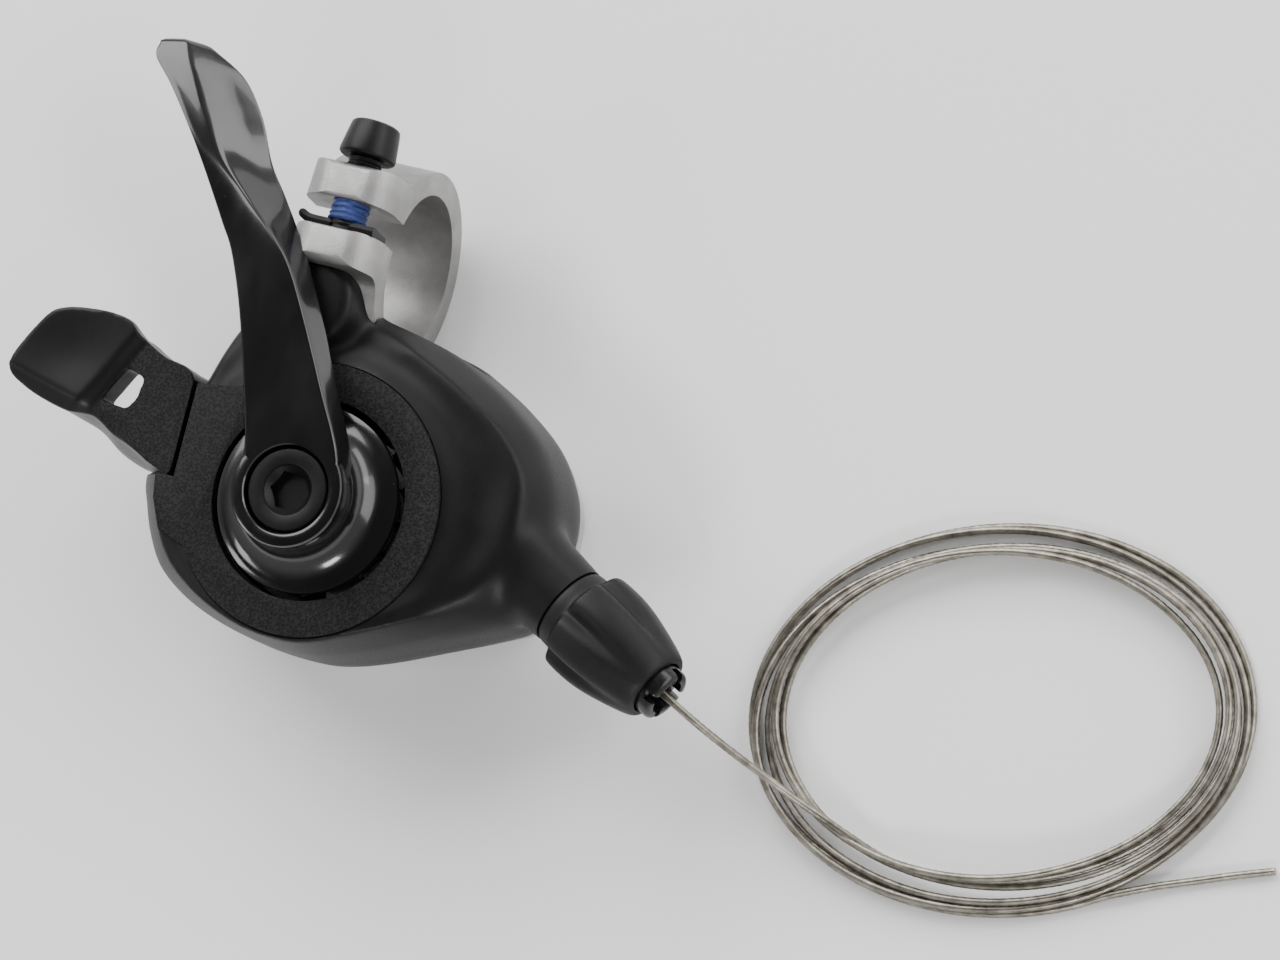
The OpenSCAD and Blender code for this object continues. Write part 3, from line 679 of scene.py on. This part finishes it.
def make_housing():
    nose = [(7.8, NOSE_S - 24), (7.8, NOSE_S - 16), (7.5, NOSE_S - 12), (7.0, NOSE_S - 8), (6.5, NOSE_S - 5),
            (6.15, NOSE_S - 2.2), (5.95, NOSE_S), (5.9, NOSE_S + 3)]
    boss = [(7.8, 14), (7.6, 24), (7.2, 27), (6.8, 29), (6.4, 30.2), (5.8, 30.8), (5.0, 31.1), (3, 31.2)]
    shell = housing_blank()
    join(shell, lathe("nose", nose, ON_LINE))
    join(shell, lathe("boss", boss, Matrix.Translation((*BOSS_AT, 0))))
    melt(shell, 0.42, 4)
    soften(shell, 110, seam_share)
    pocket = [(-20, -1), (-40, -1), (-40, 30), (-20.6, 30), (-18.9, 17), (-20, 12.4)]
    cut(shell, cylinder(CAVITY_R, 5.5, PLATE_FLOOR))
    cut(shell, prism(plate_outline(0.12), PLATE_FLOOR - 0.01, 34))
    cut(shell, box((-34, -8.45, PLATE_FLOOR), (-16, 12.3, 34)))
    cut(shell, prism(pocket, 15.8, 36))
    cut(shell, prism([(-21, 2), (-11, 2), (-11, 16.8), (-13.5, 15.5), (-17, 13.7), (-21, 13.6)], 23.2, 25.3))
    post = Matrix.Translation((-9.5, 13.5, 0))
    cut(shell, cylinder(4.2, 5.5, 25.3, post), cylinder(1.9, 20, 26.3, post))
    cut(shell, bar_cylinder(-60, 60, BAR_R + 0.5))
    cut(shell, bar_cylinder(CLAMP_AT.x + CLAMP_LEFT - 0.2, CLAMP_AT.x + CLAMP_RIGHT + 0.2, CLAMP_R + 0.1))
    cut(shell, *ear_seats(0.15))
    mount = Matrix.Translation((CLAMP_AT.x, 0, CLAMP_AT.z)) @ Matrix.Rotation(math.radians(-90), 4, "X")
    cut(shell, cylinder(1.5, 19, 22.4, mount), cylinder(2.9, 14, 19.4, mount))
    cut(shell, cylinder(4.4, NOSE_S - 11, NOSE_S + 2, ON_LINE), cylinder(0.9, 8, NOSE_S, ON_LINE))
    cut(shell, box((-20, -20, NOSE_S), (20, 20, NOSE_S + 9), ON_LINE))
    finish_piece(shell, "housing_body", SATIN_PLASTIC, "housing", ["housing_shell"], 38)


def make_top_cover():
    rings = []
    for z, inset in ((0, 7.2), (0.06, 6.3), (0.28, 5.1), (0.7, 3.9), (1.4, 2.8), (2.4, 1.95), (3.6, 1.4),
                     (4.8, 1.15), (5.7, 1.1), (5.95, 1.2)):
        rings.append([p.to_3d() + Vector((0, 0, z)) for p in housing_outline(0.1, inset)])
    cover = skin("cover", rings)
    cut(cover, cylinder(15.5, 1.6, 9))
    cut(cover, cylinder(9, 1.6, 9, Matrix.Translation((13, 2, 0))))
    cut(cover, bar_cylinder(-60, 60, BAR_R + 0.5))
    cut(cover, bar_cylinder(CLAMP_AT.x + CLAMP_LEFT - 0.2, CLAMP_AT.x + CLAMP_RIGHT + 0.2, CLAMP_R + 0.1))
    finish_piece(cover, "cover_lid", SILVER_PAINT, "housing", ["top_cover"], 40)


def make_face_plate():
    plate = prism(plate_outline(-0.05), PLATE_FLOOR, PLATE_Z, name="plate")
    cut(plate, cylinder(DISH_GAP_R, PLATE_FLOOR - 1, PLATE_Z + 1, steps=160))
    bevel(plate, 0.22, 2, 40)
    finish_piece(plate, "textured_plate", SPARKED_PLASTIC, "housing", ["face_plate"])


make_housing()
make_top_cover()
make_face_plate()


# ---------------------------------------------------------------- bar clamp and its bolt

def clamp_outline():
    """The clamp seen along the bar, as points of y across the ears and z towards their ends."""
    outer, inner = CLAMP_R, BAR_R
    low_out, high_out = EAR_LOW - LOW_EAR_T, EAR_HIGH + EAR_T
    fillet = 4.0

    def ear_fillet(side, face):
        """Centre of the fillet between the ring and an ear's outer face."""
        y = face + side * fillet
        return Vector((y, math.sqrt((outer + fillet) ** 2 - y * y)))

    def degrees(v):
        return math.degrees(math.atan2(v.y, v.x))

    low, high = ear_fillet(-1, low_out), ear_fillet(1, high_out)
    corners = [[(EAR_LOW, 14), (EAR_LOW, EAR_LEN), (low_out, EAR_LEN), 0.7],
               [(EAR_LOW, EAR_LEN), (low_out, EAR_LEN), (low_out, 14), 1.4],
               [(high_out, 14), (high_out, EAR_LEN), (EAR_HIGH, EAR_LEN), 1.4],
               [(high_out, EAR_LEN), (EAR_HIGH, EAR_LEN), (EAR_HIGH, 14), 0.7]]
    turns = [[tuple(p) for p in round_corner(Vector(a), Vector(b), Vector(c), r)] for a, b, c, r in corners]
    found = [(EAR_LOW, math.sqrt(inner ** 2 - EAR_LOW ** 2))] + turns[0] + turns[1]
    found += arc(low, fillet, 0, degrees(-low), 10)
    found += arc((0, 0), outer, degrees(low), degrees(high) + 360, 120)[1:]
    found += arc(high, fillet, degrees(-high) + 360, 180, 10)[1:]
    found += turns[2] + turns[3]
    start = math.degrees(math.asin(EAR_HIGH / inner))
    end = math.degrees(math.asin(EAR_LOW / inner))
    found += arc((0, 0), inner, 90 - start, 90 - end - 360, 110)[:-1]
    return found


def make_clamp():
    across = Matrix(((0, 0, 1, 0), (1, 0, 0, 0), (0, 1, 0, 0), (0, 0, 0, 1)))
    ring = prism(clamp_outline(), CLAMP_LEFT, CLAMP_RIGHT, IN_CLAMP @ across, "clamp")
    ends = Matrix(((1, 0, 0, 0), (0, 0, 1, 0), (0, 1, 0, 0), (0, 0, 0, 1)))
    left, right, bend = CLAMP_LEFT - 0.01, CLAMP_RIGHT + 0.01, 4.8
    keep = [(left, -20), (right, -20)]
    keep += arc((right - bend, EAR_LEN + 0.01 - bend), bend, 0, 90, 12)
    keep += arc((left + bend, EAR_LEN + 0.01 - bend), bend, 90, 180, 12)
    combine(ring, "INTERSECT", prism(keep, -20, 20, IN_CLAMP @ ends))
    cut(ring, cylinder(BOLT_R + 0.15, EAR_HIGH - 1, EAR_HIGH + EAR_T + 1, ON_BOLT, 48))
    cut(ring, cylinder(BOLT_R + 0.15, EAR_LOW - 3, EAR_LOW + 1, ON_BOLT, 48))
    bevel(ring, 0.42, 3, 32)
    finish_piece(ring, "clamp_ring", BLASTED_ALLOY, "housing", ["bar_clamp"], 30)


def threaded(name, radius, depth, z0, z1, matrix, pitch=0.8, steps=40, lumps=0.0):
    """A threaded rod: rings close together, whose radius follows the thread as it winds round."""
    count = round((z1 - z0) / pitch * 8)
    rings = []
    for i in range(count + 1):
        z = mix(z0, z1, i / count)
        ring = []
        for k in range(steps):
            a = math.tau * k / steps
            share = (z / pitch - k / steps) % 1
            r = radius - depth * (1 - abs(2 * share - 1))
            if lumps:
                r += lumps * noise.noise(Vector((math.cos(a) * 2, math.sin(a) * 2, z * 1.7)))
            ring.append(matrix @ Vector((r * math.cos(a), r * math.sin(a), z)))
        rings.append(ring)
    return skin(name, rings)


def make_bolt():
    low = EAR_HIGH + EAR_T + 1.5
    head = [(3.1, low), (3.7, low + 0.08), (3.95, low + 0.3), (4.0, low + 0.7), (3.72, low + 2.8),
            (3.5, low + 4.3), (3.38, low + 4.72), (3.1, low + 4.96), (2.7, low + 5)]
    bolt = threaded("bolt", BOLT_R, 0.2, EAR_LOW - 2, low + 0.5, ON_BOLT)
    cap = lathe("cap", head, ON_BOLT, 72)
    cut(cap, prism(hexagon(4), low + 2.4, low + 6, ON_BOLT))
    join(bolt, cap)
    finish_piece(bolt, "clamp_screw", BLACK_OXIDE, "housing", ["clamp_bolt"], 32)
    patch = threaded("patch", BOLT_R + 0.26, 0.26, EAR_LOW + 1.4, EAR_HIGH - 0.05, ON_BOLT, lumps=0.16)
    cut(patch, cylinder(BOLT_R - 0.3, 0, 9, ON_BOLT, 48))
    finish_piece(patch, "thread_adhesive", ADHESIVE, "housing", ["threadlock_patch"], 60)


def make_nut_plate():
    """A strip whose end beside the lever curls up."""
    middle = [(5.0, 0.65), (1, 0.65), (-3, 0.65), (-4.6, 0.72), (-5.5, 1.0), (-6.2, 1.5)]
    line = smooth_line([Vector((x, EAR_LOW + y)) for x, y in middle], 5)
    half_t, thinning, thin_from = 0.62, 0.09, len(line) - 4
    rings = []
    for i, p in enumerate(line):
        ahead = (line[min(i + 1, len(line) - 1)] - line[max(i - 1, 0)]).normalized()
        up = Vector((-ahead.y, ahead.x)) * (half_t - thinning * max(i - thin_from, 0))
        section = [(p + up, BAR_R + 1.5), (p + up, EAR_LEN - 1.3), (p, EAR_LEN - 1.0),
                   (p - up, EAR_LEN - 1.3), (p - up, BAR_R + 1.5), (p, BAR_R + 1.2)]
        rings.append([IN_CLAMP @ Vector((q.x, q.y, z)) for q, z in section])
    strip = skin("strip", rings)
    cut(strip, cylinder(BOLT_R + 0.1, -2, 6, ON_BOLT, 48))
    finish_piece(strip, "nut_strip", BLACK_OXIDE, "housing", ["clamp_nut_plate"], 30)


make_clamp()
make_bolt()
make_nut_plate()


# ---------------------------------------------------------------- pull lever and its screw

ARM_T = 3.0
ARM_WALL = 2.4
DROP = -4.5
# stations of the arm: its left edge, its border and the low edge of its side, below the lever's face
STATIONS = [
    [(-7.2, -1.5, 0), (6.7, -1.5, 0), (7.0, -1.5, DROP)],
    [(-7.6, 4.6, 0), (6.2, 5.4, 0), (6.9, 5.6, DROP)],
    [(-10.1, 13, 0), (1.3, 14.4, 0), (2.3, 14.8, DROP)],
    [(-13.5, 22.8, 0), (-3.6, 23, 0), (-2.2, 23.6, DROP)],
    [(-16.6, 29.9, 0), (-7.6, 29.4, 0), (-6.0, 30.2, DROP)],
    [(-19.1, 33.7, 0), (-11.0, 33.1, -0.1), (-8.7, 34.2, -4.8)],
    [(-23.1, 39.6, 0), (-16.7, 37.9, -0.6), (-13.0, 39.5, -6)],
    [(-26.8, 44.6, -0.2), (-21.8, 42.6, -1), (-16.1, 43.4, -6.2)],
    [(-31.7, 50.4, -1), (-26.2, 48.4, -1.6), (-19.2, 49.2, -6.4)],
    [(-35.4, 54.0, -2), (-29.8, 53.6, -2.4), (-23.2, 54, -6.4)],
    [(-35.8, 56.0, -3), (-31.8, 56.8, -3.6), (-28.2, 56.8, -5.8)]]


def arm_section(left, border, low):
    """Rounded L-section of the arm. Its side is a little hollow where it is broad, under the thumb."""
    lift = Vector((0, 0, LEVER_Z))
    across, down = (border - left).normalized(), (low - border).normalized()
    outward = across.cross(down).cross(down) * -1
    corners = [left, border, low, low - across * ARM_WALL, border - across * ARM_WALL + down * ARM_T,
               left + Vector((0, 0, -ARM_T)) + across * 0.6]
    breadth = (low - border).length
    radii = [0.5, 0.45 + 0.09 * max(breadth - 4.5, 0), 0.6, 0.5, 0.9, 0.6]
    hollow = 0.09 * max(breadth - 5, 0)
    found = []
    for k, corner in enumerate(corners):
        after, before = corners[(k + 1) % 6], corners[k - 1]
        found += round_corner(before, corner, after, min(radii[k], 0.4 * (after - corner).length), 5)
        if k < 2:
            sag = outward * hollow * k
            found += [corner.lerp(after, t) - sag * math.sin(math.pi * t) for t in (0.3, 0.5, 0.7)]
    return [p + lift for p in found]


def make_arm():
    tracks = [smooth_line([Vector(station[k]) for station in STATIONS], 8) for k in range(3)]
    rings = [arm_section(*points) for points in zip(*tracks)]
    last = rings[-1]
    centre = sum(last, Vector()) / len(last)
    ahead = (centre - sum(rings[-6], Vector()) / len(last)).normalized()
    for angle in (25, 45, 62, 76, 86):
        a = math.radians(angle)
        rings.append([centre + (p - centre) * math.cos(a) + ahead * math.sin(a) * 1.3 for p in last])
    return skin("arm", rings)


def make_lever():
    dish = [Vector((13.1 - 0.25 - 5 * math.sin(a), PLATE_Z + 5.6 - 5 * math.cos(a)))
            for a in (math.radians(90 * k / 22) for k in range(20))]
    profile = [(5, 24.9), (6.6, 24.9), (6.6, 27.9), (12.9, 27.9), (13.1, 28.1), (13.1, 28.7), (13.02, 28.92)]
    profile += [tuple(p) for p in dish[1:]]
    profile += [(8.1, 35.2), (8.08, 36.9), (8.0, 37.2), (7.84, 37.42), (7.6, 37.5), (6.5, 37.5), (6.3, 37.44),
                (6.14, 37.26), (6.1, 37.0), (6.1, 33.5), (5, 33.5)]
    lever = lathe("lever", profile, steps=160, closed=True)
    join(lever, cut(make_arm(), cylinder(7.2, 20, 37.0, steps=96), cylinder(6.3, 30, 45, steps=96)))
    finish_piece(lever, "thumb_lever", GLOSS_PAINT, "pull_lever", ["pull_lever"], 24)


def make_lever_screw():
    top = 36.8
    head = [(2, 25.6), (2, 34.1), (5.2, 34.1), (5.6, 34.3), (5.75, 34.7), (5.75, top - 0.35),
            (5.7, top - 0.15), (5.58, top - 0.03), (5.45, top), (3.7, top), (3.55, top - 0.05),
            (3.4, top - 0.25), (2.75, top - 0.9), (2.7, top - 1.0)]
    screw = lathe("screw", head, steps=96)
    cut(screw, prism(hexagon(5), 34.3, top + 1))
    cut(screw, lathe("cone", [(2.4, top - 1.4), (3.42, top - 0.3), (3.6, top + 0.5)], steps=72))
    finish_piece(screw, "pivot_screw", BLACK_OXIDE, "housing", ["lever_screw"], 28)


make_lever()
make_lever_screw()


# ---------------------------------------------------------------- release lever

RELEASE_LOW = [(-20.9, 0), (-24.4, -0.3), (-28.4, -0.2), (-31.8, 0.9), (-35.4, 3.2), (-39.8, 4.8),
               (-43.8, 6.6), (-45.6, 9.4), (-43, 14.8), (-40.6, 16.8), (-36.6, 17.2), (-33, 17.2),
               (-30, 15.8), (-26.4, 14.2), (-21.2, 12.3)]
RELEASE_TOP = [(-20.7, -0.2), (-23.4, -0.3), (-27, 1.4), (-30.8, 3), (-34.2, 4.7), (-38.4, 4.6),
               (-44.6, 6.4), (-47.6, 9.2), (-44.4, 16), (-41.8, 18.2), (-36.6, 19), (-32, 18.6),
               (-29.8, 16.8), (-26, 14.8), (-20.7, 12.4)]
WINDOW = [(-30.6, 12.2), (-27.9, 11.2), (-28.3, 8.2), (-29.4, 6.6), (-33.4, 7)]
BASE_Z = 28.35
PAD_RISE = 1.0
PAD_EDGE = ((-33.4, 7), (-30.6, 12.2))
PAD_HOLLOW = 0.5
FLANK_EDGE = ((-27, 0.6), (-45.6, 5.4))
FLANK_DROP = 1.5


def beyond(p, a, b):
    """Distance of a point to the left of the line from a to b."""
    a, b = Vector(a), Vector(b)
    along_line = (b - a).normalized()
    return along_line.x * (p.y - a.y) - along_line.y * (p.x - a.x)


def release_height(p):
    """Height of the release lever's face: a flat base, and beyond a step a finger pad that is a little
    hollow in its middle and falls off along its flank."""
    pad = step(beyond(p, *PAD_EDGE) / 2.4 - 0.05)
    hollow = PAD_HOLLOW * math.exp(-(((p.x + 39.5) / 6) ** 2 + ((p.y - 12.5) / 5) ** 2))
    flank = step((3.6 + beyond(p, *FLANK_EDGE)) / 3.4)
    return BASE_Z + pad * (PAD_RISE - hollow) - FLANK_DROP * flank * step((-p.x - 27) / 4)


def release_face():
    """A block whose upper side follows release_height()."""
    cell, x0, y0, nx, ny = 0.5, -50.0, -3.0, 64, 50
    flat = [Vector((x0 + cell * i, y0 + cell * j)) for i in range(nx + 1) for j in range(ny + 1)]
    count = len(flat)
    verts = [(p.x, p.y, release_height(p)) for p in flat] + [(p.x, p.y, 10) for p in flat]
    faces = []
    for i in range(nx):
        for j in range(ny):
            a = i * (ny + 1) + j
            quad = (a, a + ny + 1, a + ny + 2, a + 1)
            faces += [quad, tuple(v + count for v in reversed(quad))]
    edge = [i * (ny + 1) for i in range(nx)] + [nx * (ny + 1) + j for j in range(ny)]
    edge += [i * (ny + 1) + ny for i in range(nx, 0, -1)] + list(range(ny, 0, -1))
    faces += [(a, b, b + count, a + count) for a, b in zip(edge, edge[1:] + edge[:1])]
    return new_object("face", verts, faces)


def make_release_lever():
    rings = []
    for z, share in ((16.2, 0), (18, 0.03), (20, 0.1), (22.2, 0.3), (24.4, 0.58), (26.4, 0.85), (27.8, 1),
                     (32, 1)):
        points = [mix(Vector(a), Vector(b), share) for a, b in zip(RELEASE_LOW, RELEASE_TOP)]
        rings.append([p.to_3d() + Vector((0, 0, z)) for p in smooth_loop(points, 5)])
    lever = skin("release", rings)
    combine(lever, "INTERSECT", release_face())
    cut(lever, box((-50, 0, 14), (-34.6, 24, 20)))
    window = [Vector(p) for p in WINDOW]
    rounded = []
    for k, corner in enumerate(window):
        after = window[(k + 1) % len(window)]
        rounded += [tuple(p) for p in round_corner(window[k - 1], corner, after, 0.6)]
    cut(lever, prism(rounded, 12, 34), prism([(-37.4, 5.6), (-27, 4.6), (-27, 12.4), (-36.4, 14)], 12, 23.4))
    melt(lever, 0.24, 5)
    cut(lever, box((-20.75, -5, 10), (-10, 20, 40)))
    cut(lever, box((-26.1, 2.9, 23.6), (-10, 8.1, 25)))
    finish_piece(lever, "release_paddle", SPARKED_PLASTIC, "release_lever",
                 ["release_lever"], 40)
    lever.data.materials.append(SMOOTH_PLASTIC)
    for face in lever.data.polygons:
        p = face.center / MM + CLAMP_AT
        on_base = beyond(p.to_2d(), (-33.4, 6.6), (-30.6, 12.4)) < -0.2 and face.normal.z > 0.8
        face.material_index = 0 if on_base else 1


make_release_lever()


# ---------------------------------------------------------------- adjuster

KNOB_LOBES = 6
LOBE_LINE = [(5.7, 0), (5.9, 0.3), (6.0, 0.9), (6.05, 1.9), (6.3, 2.3), (7.3, 2.75), (7.58, 3.3), (7.68, 5),
             (7.6, 7.4), (7.25, 9.8), (6.7, 12.2), (6.1, 14.4), (5.6, 16), (5.3, 16.7), (5.0, 17.1),
             (4.6, 17.2)]
VALLEY_LINE = [(5.7, 0), (5.9, 0.3), (6.0, 0.9), (6.05, 1.9), (6.1, 2.3), (6.15, 2.75), (6.2, 3.3), (6.3, 5),
               (6.38, 7.4), (6.35, 9.8), (6.2, 12.2), (5.85, 14.4), (5.5, 16), (5.25, 16.7), (5.0, 17.1),
               (4.6, 17.2)]


def make_knob():
    lobes = smooth_line([Vector(p) for p in LOBE_LINE], 4)
    valleys = smooth_line([Vector(p) for p in VALLEY_LINE], 4)
    steps = 144
    rings = []
    for lobe, valley in zip(lobes, valleys):
        ring = []
        for k in range(steps):
            a = math.tau * k / steps
            off = abs((a * KNOB_LOBES / math.tau) % 1 - 0.5) * 2
            painted_crest_light = 1 - math.exp(-((1 - off) / 0.3) ** 2)
            p = mix(valley, lobe, painted_crest_light)
            ring.append(along(ON_LINE, KNOB_S) @ Vector((p.x * math.cos(a), p.x * math.sin(a), p.y)))
        rings.append(ring)
    knob = skin("knob", rings)
    cut(knob, cylinder(3.05, -1, 20, along(ON_LINE, KNOB_S), 72))
    cut(knob, cylinder(4.6, -1, 6, along(ON_LINE, KNOB_S), 72))
    cut(knob, lathe("seat", [(3.97, KNOB_LEN - 3.2), (3.97, KNOB_LEN - 0.4), (4.5, KNOB_LEN + 0.4)],
                    along(ON_LINE, KNOB_S), 72))
    finish_piece(knob, "barrel_knob", GRIP_PLASTIC, "adjuster_knob", ["adjuster_knob"], 35)


def make_ferrule():
    start = NOSE_S - 8
    end = FERRULE_S - start
    collar = FERRULE_S - KNOB_S - KNOB_LEN + 3
    profile = [(0.8, 0), (2.8, 0), (3, 0.2), (3, end - collar), (3.92, end - collar), (3.92, end - 0.7),
               (3.82, end - 0.35), (3.55, end - 0.08), (3.3, end), (2.75, end), (2.6, end - 0.12),
               (2.55, end - 0.4), (2.55, end - 4.5), (0.8, end - 4.6)]
    ferrule = lathe("ferrule", profile, along(ON_LINE, start), 96, closed=True)
    for angle in (20, 110):
        turned = along(ON_LINE, start) @ Matrix.Rotation(math.radians(angle), 4, "Z")
        cut(ferrule, box((-5, -0.6, end - 1.6), (5, 0.6, end + 2), turned))
    bevel(ferrule, 0.1, 2, 40)
    finish_piece(ferrule, "cable_ferrule", GLOSSY_PLASTIC, "adjuster_ferrule",
                 ["adjuster_ferrule"], 32)


make_knob()
make_ferrule()


# ---------------------------------------------------------------- pieces kept from the frame

KEPT = {
    STAMPED_STEEL: ["base_plate", "upper_plate", "pawl_carrier", "drive_pawl", "ratchet_wheel",
                    "release_arm", "holding_pawl"],
    TURNED_STEEL: ["main_axle", "spacer_posts", "release_post", "clamp_mount_screw", "lever_washer",
                   "drive_pawl_pin", "cable_nipple"],
    SPRING_STEEL: ["lever_return_spring", "spool_return_spring", "release_return_spring",
                   "adjuster_detent_spring", "drive_pawl_spring"],
    BLACK_OXIDE: ["mechanism_screws"],
    SINTERED_BRONZE: ["adjuster_insert", "lever_bush", "spool_bush"],
    WIRE_STEEL: ["cable_inner", "cable_wrap"],
    ACETAL: ["cable_spool"],
}
for kept_material, names in KEPT.items():
    for kept in names:
        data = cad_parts[kept].data
        data.materials.clear()
        data.materials.append(kept_material)


# ---------------------------------------------------------------- floor and light

def make_floor():
    size = 6.0
    verts = [(-size, -size, 0), (size, -size, 0), (size, size, 0), (-size, size, 0)]
    floor = new_object("floor", [Vector(v) + Vector((0, 0, -CLAMP_AT.z * MM)) for v in verts], [(0, 1, 2, 3)])
    finish = Finish("pale_floor")
    finish.colour(finish.spread(finish.noise(300, 2), 0.3, 0.7), grey(0.86), grey(0.9))
    finish.shader.inputs["Roughness"].default_value = 0.7
    floor.data.materials.append(finish.material)


def softbox(name, direction, distance, width, height, power):
    """A rectangular lamp that faces the object from a direction."""
    data = bpy.data.lights.new(name, "AREA")
    data.shape = "RECTANGLE"
    data.size, data.size_y = width, height
    data.energy = power
    lamp = bpy.data.objects.new(name, data)
    bpy.context.collection.objects.link(lamp)
    back = Vector(direction).normalized()
    lamp.location = back * distance + Vector((0.03, -0.03, 0))
    lamp.rotation_mode = "QUATERNION"
    lamp.rotation_quaternion = (-back).to_track_quat("-Z", "Y")


def make_world():
    """Bright near the horizon like a white room, and dimmer overhead."""
    world = bpy.data.worlds.new("room")
    bpy.context.scene.world = world
    world.use_nodes = True
    nodes, links = world.node_tree.nodes, world.node_tree.links
    height = nodes.new("ShaderNodeSeparateXYZ")
    links.new(nodes.new("ShaderNodeTexCoord").outputs["Generated"], height.inputs[0])
    fade = nodes.new("ShaderNodeMapRange")
    for key, value in {"From Min": 0.45, "From Max": 0.85, "To Min": 0.75, "To Max": 0.1}.items():
        fade.inputs[key].default_value = value
    links.new(height.outputs["Z"], fade.inputs["Value"])
    nodes["Background"].inputs["Color"].default_value = (1, 1, 1, 1)
    links.new(fade.outputs[0], nodes["Background"].inputs["Strength"])


make_floor()
make_world()
softbox("key", (-0.5, 0.62, 0.62), 1.5, 1.4, 1.2, 34)
softbox("front", (0.28, -0.77, 0.58), 0.9, 0.24, 0.17, 3.2)
softbox("left", (-0.66, -0.3, 0.7), 0.9, 0.14, 0.22, 0.8)
softbox("right", (0.9, 0.35, 0.5), 1.5, 1.2, 1.0, 13)
softbox("low", (0.49, 0.81, 0.34), 0.7, 0.5, 0.22, 1.6)
